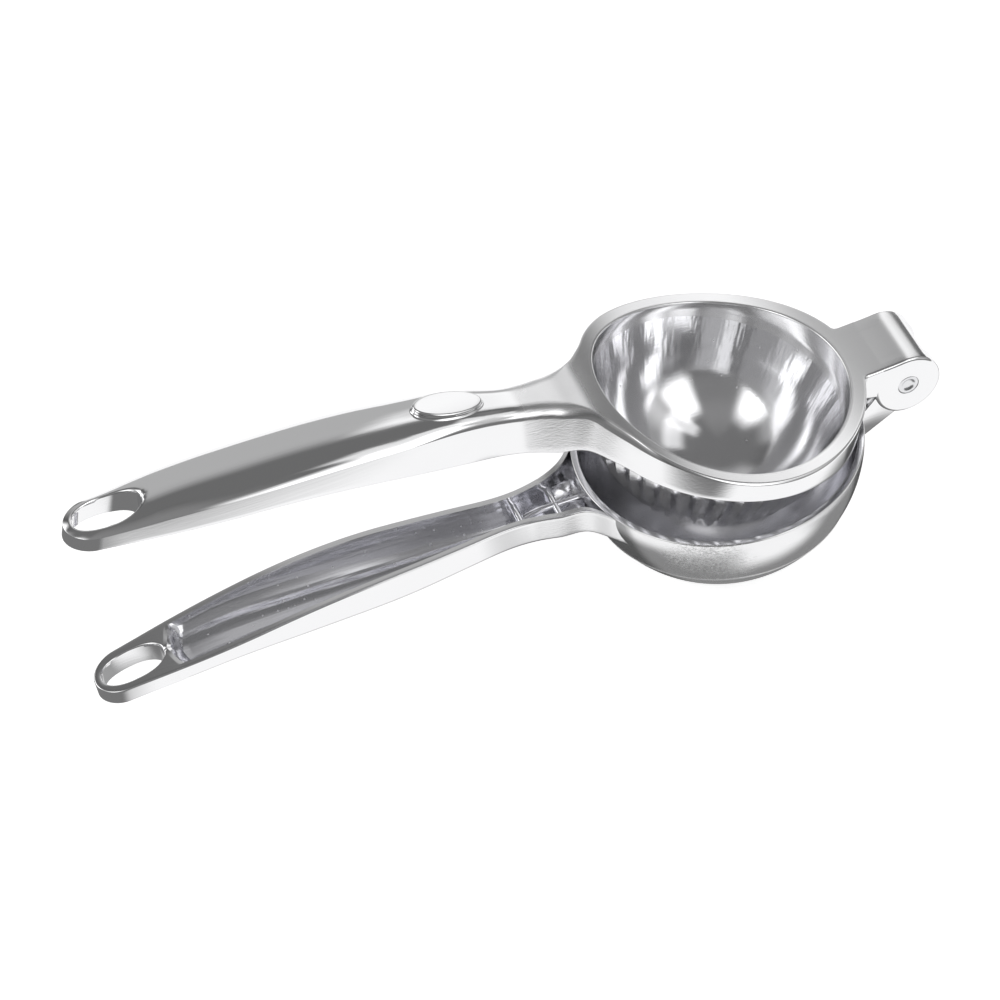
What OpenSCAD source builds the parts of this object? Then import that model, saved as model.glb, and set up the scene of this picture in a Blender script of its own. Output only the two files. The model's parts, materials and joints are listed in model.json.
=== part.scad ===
// Hinged lemon squeezer: a bowl arm, a press arm and one hinge pin.
// Both arms are drawn closed, around the centre of the bowl's rim; the press arm is then
// turned about the pin by open_angle, and all of it is moved so that the origin lies under
// the middle of the squeezer, level with the bottom of the bowl.
// +X is toward the hinge, and the handles lie toward -X.

/* [Bowl] */
// Outer radius of the juice bowl, a half sphere centred on its rim
bowl_r = 35.7; // [30:0.1:42]
// Wall of the bowl
bowl_wall = 1.8; // [1.4:0.1:2.6]
// Diameter of each juice hole in the bottom of the bowl
hole_d = 3.6; // [2.4:0.1:4]
// Distance along the wall from the middle of the bowl to the first row of juice holes
hole_start = 10.2; // [9.6:0.1:11]
// Pitch from row to row of the juice holes, along the wall
hole_pitch = 7; // [6:0.1:8]

/* [Press cup] */
// Radial step from the bowl's outer face in to the band of the press ring
band_step = 0.7; // [0:0.1:1.5]
// Width of the rim between the band and the cup
rim_w = 3.9; // [3.4:0.1:6]
// Height of the ring above the bowl's rim at its two sides
ring_h = 6; // [4.5:0.1:9]
// Radius of the long arc that the ring's top follows from the neck to the hinge
arch_r = 118; // [100:1:180]
// Radial room between the press dome and the inside of the bowl
press_room = 2.5; // [1.5:0.1:4]
// Wall of the press dome
dome_wall = 2.2; // [1.6:0.1:3.4]
// Height of the press dome's centre above the bowl's rim
dome_up = 3; // [2:0.1:4]
// Number of flutes around the press dome
flutes = 40; // [24:1:48]
// Depth of each flute
flute_depth = 1.1; // [0.4:0.1:1.2]

/* [Handles] */
// Length from the centre of the bowl to the end of the handles
reach = 160; // [140:0.5:185]
// Width of the neck
neck_w = 11.4; // [9.6:0.1:14]
// Greatest width of the grip
grip_w = 18.6; // [15:0.1:24]
// Width at the hanging eye
tip_w = 13.2; // [12.6:0.1:18]
// How far the end of the handles lies below the neck
handle_drop = 11.5; // [6:0.5:16]
// Height of the press handle at its neck
press_h = 13.2; // [11:0.1:17]
// Height of the bowl handle at its grip
bowl_handle_h = 11; // [9:0.1:15]
// Rise of the rounded back of each handle
crown = 2.8; // [1.5:0.1:4]
// Wall of the hollow handles
handle_wall = 2; // [1.6:0.1:2.8]
// Sideways lean of the handle walls, per millimetre of height
draft = 0.06; // [0:0.01:0.1]
// Length of the hanging eye
eye_l = 15.6; // [11:0.1:17]
// Width of the hanging eye
eye_w = 9; // [6:0.1:9.2]
// Distance from the eye to the end of the handle
eye_edge = 2; // [1.8:0.1:4]
// Length of the oval pad on the press handle
pad_l = 17; // [12:0.1:20]
// Width of the oval pad
pad_w = 8.2; // [6:0.1:9]
// Height of the oval pad above the handle's back
pad_rise = 0.8; // [0.4:0.1:2]
// Thickness of the stiffening ribs in the neck
rib_t = 1.8; // [1.2:0.1:2.6]

/* [Hinge] */
// Distance of the hinge pin from the bowl's outer face
pin_out = 10.9; // [10.4:0.1:15]
// Height of the hinge pin above the bowl's rim
pin_up = 6.2; // [5.6:0.1:8]
// Diameter of the hinge pin
pin_d = 5.4; // [4:0.1:6.2]
// Radius of the two ears around the pin
ear_r = 8.5; // [8:0.1:9.6]
// Width across the two ears
hinge_w = 18.6; // [15:0.1:24]
// Width of the lug between the ears
lug_w = 10; // [7:0.1:12]
// Radius of the lug around the pin
lug_r = 5.9; // [5:0.1:6.2]
// Angle by which the press arm stands open from closed, degrees
open_angle = 13.6; // [0:0.1:95]

/* [Clearances] */
// Gap between the two arms when they are closed
seat_gap = 0.5; // [0.3:0.05:1]
// Gap around the lug between the ears
lug_gap = 0.3; // [0.2:0.05:0.5]
// Radial clearance of the pin in the lug
pin_fit = 0.05; // [0.02:0.01:0.1]
// How far each end of the pin stays inside the ear's face
pin_inset = 0.15; // [0:0.05:0.5]

/* [Hidden] */
$fn = 96;

// Radii of the ring, the cup and the dome
band_r = bowl_r - band_step;
cup_r = band_r - rim_w;
bowl_in_r = bowl_r - bowl_wall;
dome_r = bowl_in_r - press_room;
pin_x = bowl_r + pin_out;

// Handle stations: s is 0 at the ring and 1 at the end of the handle
span = reach - bowl_r;
function at(s) = -bowl_r - s * span;
function along(x) = (-x - bowl_r) / span;

// Smooth curve through [position, value] pairs
function seg(l, s, i = 0) = i >= len(l) - 2 || s < l[i + 1][0] ? i : seg(l, s, i + 1);
function rise(l, i, j) = (l[j][1] - l[i][1]) / (l[j][0] - l[i][0]);
function slope(l, i) = rise(l, max(i - 1, 0), min(i + 1, len(l) - 1));
function curve(l, s) =
    let (i = seg(l, s), h = l[i + 1][0] - l[i][0], t = (s - l[i][0]) / h)
    (2 * t * t * t - 3 * t * t + 1) * l[i][1] + (t * t * t - 2 * t * t + t) * h * slope(l, i)
    + (3 * t * t - 2 * t * t * t) * l[i + 1][1] + (t * t * t - t * t) * h * slope(l, i + 1);

// Seam between the closed arms: level at the neck, then an arc, then a straight fall
seam_z = -1.6;
bend_start = 0.38;
bend_end = 0.66;
function bend(s) = s < bend_start ? 0
    : s < bend_end ? pow(s - bend_start, 2) / (bend_end - bend_start) / 2
    : s - (bend_start + bend_end) / 2;
function step(t) = let (u = min(max(t, 0), 1)) u * u * (3 - 2 * u);
function seam(s) = seam_z * step(s / 0.07) - handle_drop * bend(s) / bend(1);

// Half width of both arms at the seam: a fillet runs from the ring to the neck
root_s = -0.045;
root_w = sqrt(pow(band_r, 2) - pow(at(root_s), 2)) - 0.1;
tip_round = tip_w / 2;
tip_start = 1 - tip_round / span;
plan = [[root_s, root_w], [-0.02, root_w * 0.56 + neck_w * 0.4], [0.01, neck_w * 0.86],
    [0.05, neck_w * 0.68], [0.1, neck_w * 0.55], [0.155, neck_w / 2],
    [0.23, neck_w * 0.18 + grip_w * 0.24], [0.33, grip_w * 0.42],
    [0.44, grip_w * 0.475], [0.58, grip_w / 2], [0.73, grip_w * 0.485],
    [0.86, tip_w * 0.3 + grip_w * 0.205], [tip_start, tip_round]];
function half_w(s) = s <= tip_start ? curve(plan, s)
    : tip_round * sqrt(max(0, 1 - pow((s - tip_start) * span / tip_round, 2)));

// Height of the press handle above the seam, and depth of the bowl handle below it
press_rise = [[-0.05, 0.68], [0, 0.86], [0.04, 0.97], [0.15, 0.96], [0.27, 1.01],
    [0.34, 0.955], [0.45, 0.84], [0.55, 0.745], [0.65, 0.675], [0.74, 0.635], [0.84, 0.55],
    [0.92, 0.44], [1, 0.37]];
bowl_fall = [[-0.05, 0.9], [0.04, 0.87], [0.15, 0.86], [0.28, 0.93], [0.39, 1.01],
    [0.5, 0.965], [0.61, 0.835], [0.72, 0.65], [0.84, 0.57], [0.93, 0.52], [1, 0.47]];
crown_share = [[-0.05, 0.9], [0.1, 0.9], [0.5, 1.1], [0.85, 1], [0.93, 0.55], [1, 0.4]];
function press_top(s) = press_h * curve(press_rise, s);
function bowl_low(s) = bowl_handle_h * curve(bowl_fall, s);

// Half outline of a handle section, from its edge at the seam round to the middle of its back
crown_steps = 6;
crown_power = 0.8;
function half_section(w, edge, h, c, dir) = let (wall_w = w - draft * (h - c)) [
    [w, edge],
    for (k = [0 : crown_steps]) let (a = 90 * k / crown_steps)
        [wall_w * pow(cos(a), crown_power), edge + dir * (h - c + c * pow(sin(a), crown_power))]];
function whole(half) = concat(half, [for (k = [len(half) - 2 : -1 : 0]) [-half[k][0], half[k][1]]]);

// Stations of the handle loft, closer together around the end
skin_s = concat([for (k = [0 : 28]) root_s + k * (tip_start - root_s) / 28],
    [for (a = [20, 40, 55, 68, 78, 86]) tip_start + (1 - tip_start) * sin(a)]);

// Solid through a list of sections, each a list of [x, y, z] points
module loft(rings) {
    n = len(rings[0]);
    m = len(rings);
    points = [for (r = rings) for (p = r) p];
    sides = [for (i = [0 : m - 2]) for (k = [0 : n - 1]) let (j = (k + 1) % n)
        each [[i * n + k, i * n + j, (i + 1) * n + k], [i * n + j, (i + 1) * n + j, (i + 1) * n + k]]];
    caps = [[for (k = [n - 1 : -1 : 0]) k], [for (k = [0 : n - 1]) (m - 1) * n + k]];
    polyhedron(points = points, faces = concat(sides, caps));
}

// Section at s; inset shrinks it by a wall, and moves its open edge past the seam
function ring_at(s, dir, h, inset) = let (
        edge = seam(s) + dir * (seat_gap / 2 - (inset > 0 ? 1 : 0)),
        c = crown * curve(crown_share, s),
        w = half_w(s) - inset,
        half = half_section(w, edge, h + (inset > 0 ? 1 : 0) - inset, c, dir),
        out = dir > 0 ? whole(half) : [for (k = [2 * len(half) - 2 : -1 : 0]) whole(half)[k]])
    [for (p = out) [at(s), p[0], p[1]]];

module handle_skin(dir) {
    loft([for (s = skin_s) ring_at(s, dir, dir > 0 ? press_top(s) : bowl_low(s), 0)]);
}

// Hollow of a handle, from the ring to a short way before the hanging eye
hollow_end = along(-reach + eye_edge + eye_l + handle_wall);
hollow_start = 0.01;
hollow_n = 20;
module handle_hollow(dir) {
    loft([for (k = [0 : hollow_n]) let (s = hollow_start + (hollow_end - hollow_start) * k / hollow_n)
        ring_at(s, dir, dir > 0 ? press_top(s) : bowl_low(s), handle_wall)]);
}

// Oval with blunt ends, drawn around its centre
function oval(l, w, power) = [for (a = [0 : 7.5 : 352.5])
    [l / 2 * sign(cos(a)) * pow(abs(cos(a)), power), w / 2 * sign(sin(a)) * pow(abs(sin(a)), power)]];

module hanging_eye() {
    translate([-reach + eye_edge + eye_l / 2, 0, -reach / 4])
        linear_extrude(reach / 2)
            polygon(oval(eye_l, eye_w, 0.88));
}

// Moves the squeezer from the centre of the bowl's rim to its own origin
under_x = (pin_x + ear_r - reach) / 2;
foot_d = 3.6;
under_z = -sqrt(pow(bowl_r, 2) - pow(foot_d / 2, 2));
module place() {
    translate([-under_x, 0, -under_z])
        children();
}

// Turns the press arm and the pin about the pin, from closed to open
module opened() {
    translate([pin_x, 0, pin_up])
        rotate([0, open_angle, 0])
            translate([-pin_x, 0, -pin_up])
                children();
}

module across(w) {
    rotate([90, 0, 0])
        linear_extrude(w, center = true)
            children();
}

module pin_hole(d) {
    translate([pin_x, 0, pin_up])
        rotate([90, 0, 0])
            cylinder(d = d, h = hinge_w * 2, center = true);
}

// ---- Bowl arm ----

module bowl_shell() {
    rotate_extrude()
        difference() {
            intersection() {
                circle(r = bowl_r);
                translate([0, -bowl_r * 2])
                    square(bowl_r * 2);
            }
            circle(r = bowl_in_r);
        }
}

// Juice holes, drilled square to the wall in two fans, one on each side of the middle line.
// Each row of a fan is a list of angles around the bowl.
hole_rows = [[60, 90, 120], [50, 70, 90, 110, 130]];
module juice_holes() {
    for (side = [-1, 1], row = [0 : len(hole_rows) - 1], a = hole_rows[row])
        rotate([0, (hole_start + row * hole_pitch) / bowl_r * 180 / PI, side * a])
            translate([0, 0, -bowl_r - 1])
                cylinder(d = hole_d, h = bowl_wall + 2, $fn = 24);
}

// Small flat on which the bowl stands
module foot_flat() {
    translate([0, 0, under_z - bowl_r])
        cylinder(d = foot_d * 2, h = bowl_r);
}

// Lug: an arm from the bowl's wall up to a round knuckle on the pin
lug_root = 14.8;
lug_shelf = 2.9;
lug_shoulder = 4.6;
lug_heel = 3.4;
lug_bed = 5;
module hinge_lug() {
    across(lug_w)
        difference() {
            union() {
                polygon([[bowl_r - lug_bed, -lug_shelf], [bowl_r + 1.3, -lug_shelf + 0.6],
                    [pin_x - lug_r, pin_up - lug_shoulder], [pin_x - lug_r, pin_up], [pin_x, pin_up],
                    [pin_x, pin_up - ear_r - lug_heel], [pin_x - 1.2, pin_up - ear_r - lug_heel - 0.4],
                    [bowl_r - lug_bed, -lug_root]]);
                translate([pin_x, pin_up])
                    circle(r = lug_r);
            }
            circle(r = bowl_in_r + bowl_wall / 2);
        }
}

// Ribs across the open pocket of the neck, set below the seam
rib_set = 2.6;
module neck_ribs() {
    low = seam_z - bowl_low(0.1) + 1;
    top = seam_z - rib_set;
    difference() {
        union() {
            translate([at(0.22), -rib_t / 2, low])
                cube([span * 0.22 + bowl_wall / 2, rib_t, top - low]);
            for (s = [0.055, 0.13])
                translate([at(s) - rib_t / 2, handle_wall / 2 - half_w(s), low + 0.8])
                    cube([rib_t, 2 * half_w(s) - handle_wall, top - low - 0.8]);
        }
        sphere(r = bowl_r - bowl_wall / 2);
    }
}

module bowl_arm() {
    color("silver")
        place()
            difference() {
                union() {
                    bowl_shell();
                    hinge_lug();
                    difference() {
                        handle_skin(-1);
                        difference() {
                            handle_hollow(-1);
                            sphere(r = bowl_r);
                        }
                        sphere(r = bowl_in_r + bowl_wall / 2);
                    }
                    neck_ribs();
                }
                juice_holes();
                foot_flat();
                hanging_eye();
                pin_hole(pin_d + 2 * pin_fit);
            }
}

// ---- Press arm, drawn closed ----

// Everything above the arc that the ring's top follows
module above_arch() {
    translate([0, 0, ring_h + arch_r])
        rotate([90, 0, 0])
            cylinder(r = arch_r, h = bowl_r * 4, center = true, $fn = 240);
}

// Outline of the fluted dome seen from above: one scallop between each two ridges
scallop_n = 5;
function scallop(t) = dome_r - flute_depth * sin(180 * t);
module flute_outline() {
    polygon([for (k = [0 : flutes - 1]) for (j = [0 : scallop_n - 1])
        let (t = j / scallop_n, a = 360 * (k + t) / flutes) scallop(t) * [cos(a), sin(a)]]);
}

module press_dome() {
    intersection() {
        translate([0, 0, dome_up])
            sphere(r = dome_r);
        translate([0, 0, dome_up - dome_r - 1])
            linear_extrude(dome_r + 1)
                flute_outline();
    }
}

// Ring and tongue, both cut along the top by the same arc
tongue_low = 3.6;
tongue_start = cup_r - 2;
module ring_and_tongue() {
    difference() {
        union() {
            translate([0, 0, seat_gap])
                cylinder(r = band_r, h = ring_h + bowl_r / 4);
            across(hinge_w)
                translate([tongue_start, tongue_low])
                    square([pin_x - tongue_start, pin_up + ear_r - tongue_low]);
        }
        above_arch();
    }
}

// Hollow of the cup: a hemisphere within the dome, a short flare, then straight to the top
flare_h = 2.2;
module cup_hollow() {
    in_r = dome_r - dome_wall;
    translate([0, 0, dome_up]) {
        sphere(r = in_r);
        rotate_extrude()
            polygon([[0, 0], [in_r, 0], [cup_r, flare_h], [cup_r, bowl_r], [0, bowl_r]]);
    }
}

// Room for the lug between the ears: around its knuckle, and round the end as the arm swings.
// The ears are joined over the lug as far as this angle above level.
cap_end = 62;
module lug_slot() {
    left = -ear_r - 0.5;
    far = ear_r * 2.4;
    above_lug = tongue_low - pin_up;
    across(lug_w + 2 * lug_gap)
        translate([pin_x, pin_up]) {
            circle(r = lug_r + lug_gap);
            polygon([[0, 0], far * [cos(cap_end), sin(cap_end)], [far, -far], [left, -far],
                [left, above_lug], [-lug_r - lug_gap, above_lug], [-lug_r - lug_gap, 0]]);
        }
}

module ring_and_hinge() {
    difference() {
        union() {
            ring_and_tongue();
            across(hinge_w)
                translate([pin_x, pin_up])
                    circle(r = ear_r);
        }
        lug_slot();
    }
}

module oval_pad() {
    s = 0.28;
    translate([at(s), 0, seam(s) + press_top(s) - crown])
        linear_extrude(crown + pad_rise)
            polygon(oval(pad_l, pad_w, 1));
}

module press_arm() {
    color("lightgray")
        place()
            opened()
                difference() {
                    union() {
                        press_dome();
                        ring_and_hinge();
                        difference() {
                            handle_skin(1);
                            difference() {
                                handle_hollow(1);
                                translate([0, 0, -ring_h])
                                    cylinder(r = band_r, h = ring_h * 4);
                            }
                            cylinder(r = cup_r + 1, h = reach, center = true);
                        }
                        oval_pad();
                    }
                    cup_hollow();
                    hanging_eye();
                    pin_hole(pin_d);
                }
}

// ---- Hinge pin ----

dish_d = pin_d * 0.62;
dish_depth = 0.5;
module hinge_pin() {
    color("gainsboro")
        place()
            translate([pin_x, 0, pin_up])
                rotate([90, 0, 0])
                    difference() {
                        cylinder(d = pin_d, h = hinge_w - 2 * pin_inset, center = true);
                        for (side = [-1, 1])
                            translate([0, 0, side * (hinge_w / 2 - pin_inset)])
                                cylinder(d = dish_d, h = 2 * dish_depth, center = true);
                    }
}

bowl_arm();
press_arm();
hinge_pin();
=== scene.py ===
import json
import math

import bmesh
import bpy
import numpy as np
from mathutils import Matrix, Vector


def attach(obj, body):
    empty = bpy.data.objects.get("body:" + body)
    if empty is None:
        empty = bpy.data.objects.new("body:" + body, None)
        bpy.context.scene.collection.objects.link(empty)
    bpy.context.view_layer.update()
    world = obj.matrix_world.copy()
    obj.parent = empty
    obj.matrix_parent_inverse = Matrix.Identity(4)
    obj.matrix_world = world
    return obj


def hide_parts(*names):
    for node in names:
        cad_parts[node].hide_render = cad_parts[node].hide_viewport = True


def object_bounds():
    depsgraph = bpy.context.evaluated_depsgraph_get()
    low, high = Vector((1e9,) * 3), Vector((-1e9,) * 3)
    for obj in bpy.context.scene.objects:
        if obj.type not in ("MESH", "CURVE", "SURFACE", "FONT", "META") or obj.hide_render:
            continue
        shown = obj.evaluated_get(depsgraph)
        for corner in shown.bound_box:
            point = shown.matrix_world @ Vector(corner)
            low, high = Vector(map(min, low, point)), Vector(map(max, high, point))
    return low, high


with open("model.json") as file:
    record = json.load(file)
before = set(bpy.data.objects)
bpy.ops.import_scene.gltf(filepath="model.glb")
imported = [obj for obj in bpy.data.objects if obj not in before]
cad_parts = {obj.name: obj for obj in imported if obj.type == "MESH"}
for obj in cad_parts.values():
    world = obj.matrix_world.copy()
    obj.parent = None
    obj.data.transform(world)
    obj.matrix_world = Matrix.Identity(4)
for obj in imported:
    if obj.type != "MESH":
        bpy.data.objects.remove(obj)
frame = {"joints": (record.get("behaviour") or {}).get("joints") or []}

bl_info = {
    "name": "Lemon squeezer",
    "version": (1, 0, 0),
    "blender": (4, 5, 0),
    "location": "View3D > Sidebar > Squeezer",
    "description": "Builds the plated castings and the studio around a hinged lemon squeezer",
    "category": "Add Mesh",
}

MM = 0.001
CAD_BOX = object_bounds()
HINGE = next(j for j in frame["joints"] if j["name"] == "hinge")

# The castings are drawn closed, in millimetres, around the middle of the bowl's rim: +X goes to
# the hinge and +Z up. The press arm then turns about the pin by as much as it stands open.
PIN = np.array([46.6, 6.2])
TO_FRAME = np.array(HINGE["pos_m"]) / MM - [PIN[0], 0, PIN[1]]
OPEN_ANGLE = -math.radians(HINGE["range_deg"][0])
# Middle of the press dome as it stands open
DOME_AT = np.array([0.55, 0, 14.05])
# The materials made so far, by their functions' names
FINISHED = {}


# ---- Curves ----

def smooth(start, end, x):
    """Goes from 0 at start to 1 at end along 3 t squared less 2 t cubed."""
    t = np.clip((x - start) / (end - start), 0, 1)
    return t * t * (3 - 2 * t)


def spline(points, x, first_slope=None, last_slope=None):
    """Cubic spline through (position, value) pairs: the curvatures at the points solve one
    linear system, with none at an end whose slope isn't given."""
    px, py = np.array(points, float).T
    h, rise = np.diff(px), np.diff(py) / np.diff(px)
    n = len(px)
    m, right = np.eye(n), np.zeros(n)
    inner = np.arange(1, n - 1)
    m[inner, inner - 1], m[inner, inner + 1] = h[:-1], h[1:]
    m[inner, inner] = 2 * (h[:-1] + h[1:])
    right[1:-1] = 6 * np.diff(rise)
    if first_slope is not None:
        m[0, :2], right[0] = (2 * h[0], h[0]), 6 * (rise[0] - first_slope)
    if last_slope is not None:
        m[-1, -2:], right[-1] = (h[-1], 2 * h[-1]), 6 * (last_slope - rise[-1])
    bend = np.linalg.solve(m, right)
    x = np.asarray(x, float)
    i = np.clip(np.searchsorted(px, x) - 1, 0, n - 2)
    a, b = px[i + 1] - x, x - px[i]
    return ((bend[i] * a ** 3 + bend[i + 1] * b ** 3) / (6 * h[i])
            + (py[i] / h[i] - bend[i] * h[i] / 6) * a
            + (py[i + 1] / h[i] - bend[i + 1] * h[i] / 6) * b)


def spaced(count):
    """Steps from 0 to 1 that start close together: one less the cosine of a quarter turn."""
    return 1 - np.cos(np.pi * np.linspace(0, 1, count) / 2)


# ---- Shared sizes of the two arms ----

# Radii of the bowl and the ring, reach of the handles from the bowl's axis, and their round ends
BOWL_R, RING_R, REACH, TIP_R = 35.7, 35.0, 160.0, 6.6
SPAN = REACH - BOWL_R
TIP_X = TIP_R - REACH
# Middle, length and width of the hanging eyes
EYE_X, EYE_L, EYE_W = -150.2, 15.6, 9.0
# Half of the closed arms' gap along the seam, and their gap over the bowl's rim
PART, RIM_GAP = 0.25, 0.5
# The most that the press handle rises over the seam and the bowl handle falls under it, and the
# most that both backs lose on their rounded shoulders
PRESS_HIGH, BOWL_DEEP, CROWN = 13.2, 11.0, 2.8
# Strips of the arms' plan fan around the eye up to FAN_X, run straight across from STRAIGHT_X,
# turn in toward the cup from NECK_X and go around the ring from RING_X on.
FAN_X, STRAIGHT_X, NECK_X, RING_X = -139.5, -128, -52, -37
# Where the handles' own width ends, and where the ring's circle takes over
LAST_X, ROOT_X = -30, -29.5
# Quarter turn of a rounded edge in four steps
QUARTER = np.radians([0, 22, 45, 68, 90])

# Half width of both arms, at places along X from the end of the handle to the ring
HALF_WIDTHS = [(TIP_X, 6.6), (-142.6, 7.77), (-126.4, 9.02), (-107.8, 9.3), (-90.4, 8.84),
               (-76.7, 7.81), (-64.3, 6.52), (-55.0, 5.7), (-48.1, 6.27), (-41.9, 7.75),
               (-36.9, 9.9), (-33.2, 14.0), (ROOT_X, math.sqrt(RING_R ** 2 - ROOT_X ** 2))]
# Heights over the seam, as shares of the whole, at shares of the way from the ring to the end
PRESS_RISE = [(-0.05, 0.68), (0, 0.86), (0.04, 0.97), (0.15, 0.96), (0.27, 1.01), (0.34, 0.955),
              (0.45, 0.84), (0.55, 0.745), (0.65, 0.675), (0.74, 0.635), (0.84, 0.55),
              (0.92, 0.44), (1, 0.37)]
BOWL_FALL = [(-0.05, 0.9), (0.04, 0.87), (0.15, 0.86), (0.28, 0.93), (0.39, 1.01), (0.5, 0.965),
             (0.61, 0.835), (0.72, 0.65), (0.84, 0.57), (0.93, 0.52), (1, 0.47)]
CROWN_SHARE = [(-0.05, 0.9), (0.15, 0.92), (0.35, 1.04), (0.55, 1.1), (0.72, 1.02), (0.86, 0.8),
               (1, 0.42)]


def along(x):
    """Share of the way from the bowl to the end of the handle."""
    return (-x - BOWL_R) / SPAN


def half_width(x):
    """Half the width of both arms at x: the spline above, with a slope of a tenth carried on
    past it and brought in as a circle around the end."""
    width = spline(HALF_WIDTHS, np.maximum(x, TIP_X), 0.1, 1.57)
    past = np.clip((TIP_X - x) / TIP_R, 0, 1)
    return (width - 0.1 * np.maximum(TIP_X - x, 0)) * np.sqrt(1 - past ** 2)


def handle_width(x):
    """Half width along the handles, kept as it is at their roots on past them."""
    return half_width(np.minimum(x, LAST_X))


def seam(x):
    """Height of the seam between the closed arms: 1.6 mm down beside the bowl and level at the
    neck, and then an arc of a parabola and a straight fall, which take 11.5 mm."""
    s = along(x)
    start, end = 0.38, 0.66
    middle = (start + end) / 2
    bend = np.where(s < end, np.maximum(s - start, 0) ** 2 / (end - start) / 2, s - middle)
    return -1.6 * smooth(0, 0.07, s) - 11.5 * bend / (1 - middle)


def arch(x):
    """Top of the ring and the tongue: an arc of 118 mm, 6 mm over the bowl at its lowest."""
    radius, low = 118, 6
    return low + radius - np.sqrt(radius ** 2 - np.clip(x, -60, 60) ** 2)


def eye_curve(count):
    """Upper half of the hanging eye from its outer end to its inner one: an oval whose sine and
    cosine are raised to 0.88."""
    a = np.linspace(np.pi, 0, count)
    c, s = np.cos(a), np.sin(a)
    return np.stack([EYE_X + EYE_L / 2 * np.sign(c) * np.abs(c) ** 0.88,
                     EYE_W / 2 * np.abs(s) ** 0.88], -1)


def near_to(points, curve):
    """Distance of each plan point from the nearest point of a curve."""
    flat = points.reshape(-1, 2)
    gap = np.hypot(flat[:, None, 0] - curve[None, :, 0], flat[:, None, 1] - curve[None, :, 1])
    return gap.min(1).reshape(points.shape[:-1])


# ---- Meshes ----

def weld(grids, mirrored=False):
    """Points and faces of several grids as one list. Each grid is points (u, v, 3) and a mask of
    its cells, or None for all of them. With mirrored, a copy across the middle plane is added."""
    points, faces, base = [], [], 0
    for side in ((1, -1) if mirrored else (1,)):
        for grid, cells in grids:
            u, v = grid.shape[:2]
            index = base + np.arange(u * v).reshape(u, v)
            quads = np.stack([index[:-1, :-1], index[1:, :-1], index[1:, 1:], index[:-1, 1:]], -1)
            quads = quads.reshape(-1, 4) if cells is None else quads[cells]
            faces.append(quads[:, ::side])
            points.append((grid * [1, side, 1]).reshape(-1, 3))
            base += u * v
    return np.concatenate(points), np.concatenate(faces)


def swing(points, angle=OPEN_ANGLE):
    """Turns points about the pin, by the opening angle unless another is given."""
    x, z = points[:, 0] - PIN[0], points[:, 2] - PIN[1]
    c, s = math.cos(angle), math.sin(angle)
    return np.stack([PIN[0] + x * c + z * s, points[:, 1], PIN[1] - x * s + z * c], -1)


def tidy(mesh, sharp=35):
    """Closes a mesh, turns its faces outward and marks the edges that are sharper than an
    angle in degrees. Returns how many edges are left open."""
    work = bmesh.new()
    work.from_mesh(mesh)
    bmesh.ops.remove_doubles(work, verts=work.verts, dist=2e-6)
    bmesh.ops.dissolve_degenerate(work, edges=work.edges, dist=1e-6)
    bmesh.ops.holes_fill(work, edges=[e for e in work.edges if e.is_boundary], sides=0)
    bmesh.ops.recalc_face_normals(work, faces=work.faces)
    left_open = sum(not e.is_manifold for e in work.edges)
    work.to_mesh(mesh)
    work.free()
    mesh.shade_smooth()
    mesh.set_sharp_from_angle(angle=math.radians(sharp))
    return left_open


def add_piece(name, points, faces, node, body, slot, material, sharp=35):
    """Puts closed-position points into a mesh in the part's frame, tidies it, and hands the
    piece over to the CAD node's body."""
    placed = (swing(points) if body == "upper" else points) + TO_FRAME
    placed = np.clip(placed, *(np.array(corner) / MM for corner in CAD_BOX))
    mesh = bpy.data.meshes.new(name)
    mesh.from_pydata((placed * MM).tolist(), [], faces.tolist())
    if tidy(mesh, sharp):
        raise RuntimeError(f"{name} is left with open edges")
    made = bpy.data.objects.new(name, mesh)
    bpy.context.scene.collection.objects.link(made)
    mesh.materials.append(material)
    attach(made, body)
    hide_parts(node)
    return made


def around(r, z, a):
    """Grid of points at the radius r and the height z around the upright axis, with a row for
    each angle of a. Radius and height may change from row to row."""
    x, y = r * np.cos(a)[:, None], r * np.sin(a)[:, None]
    return np.stack([x, y, np.broadcast_to(z, x.shape)], -1)


def turned_on_pin(profile, steps):
    """Points and faces of a closed profile of (radius, place along the pin) turned around it."""
    r, y = np.array(profile).T
    grid = around(r, y, np.linspace(0, 2 * np.pi, steps + 1))[..., [0, 2, 1]]
    return weld([(grid + [PIN[0], 0, PIN[1]], None)])


def arc(centre, radius, start, end, count):
    """Points of an arc between two angles in degrees."""
    a = np.radians(np.linspace(start, end, count))
    return np.stack([centre[0] + radius * np.cos(a), centre[1] + radius * np.sin(a)], -1)


# ---- Press arm ----

# Radius where the cup meets the ring, where the frame ends at the hinge, and the fillet between
# the ring and the tongue
CUP_Q, FRAME_END, FILLET_R = 31.9, 38.5, 1.6
# Half the tongue's width, the half width under which the outer edge belongs to it, and the height
# of its underside
HALF_HINGE, TONGUE_SIDE, TONGUE_LOW = 9.3, 11, 3.6
# Rounding of the wall's foot
FOOT_R = 0.35


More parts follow.
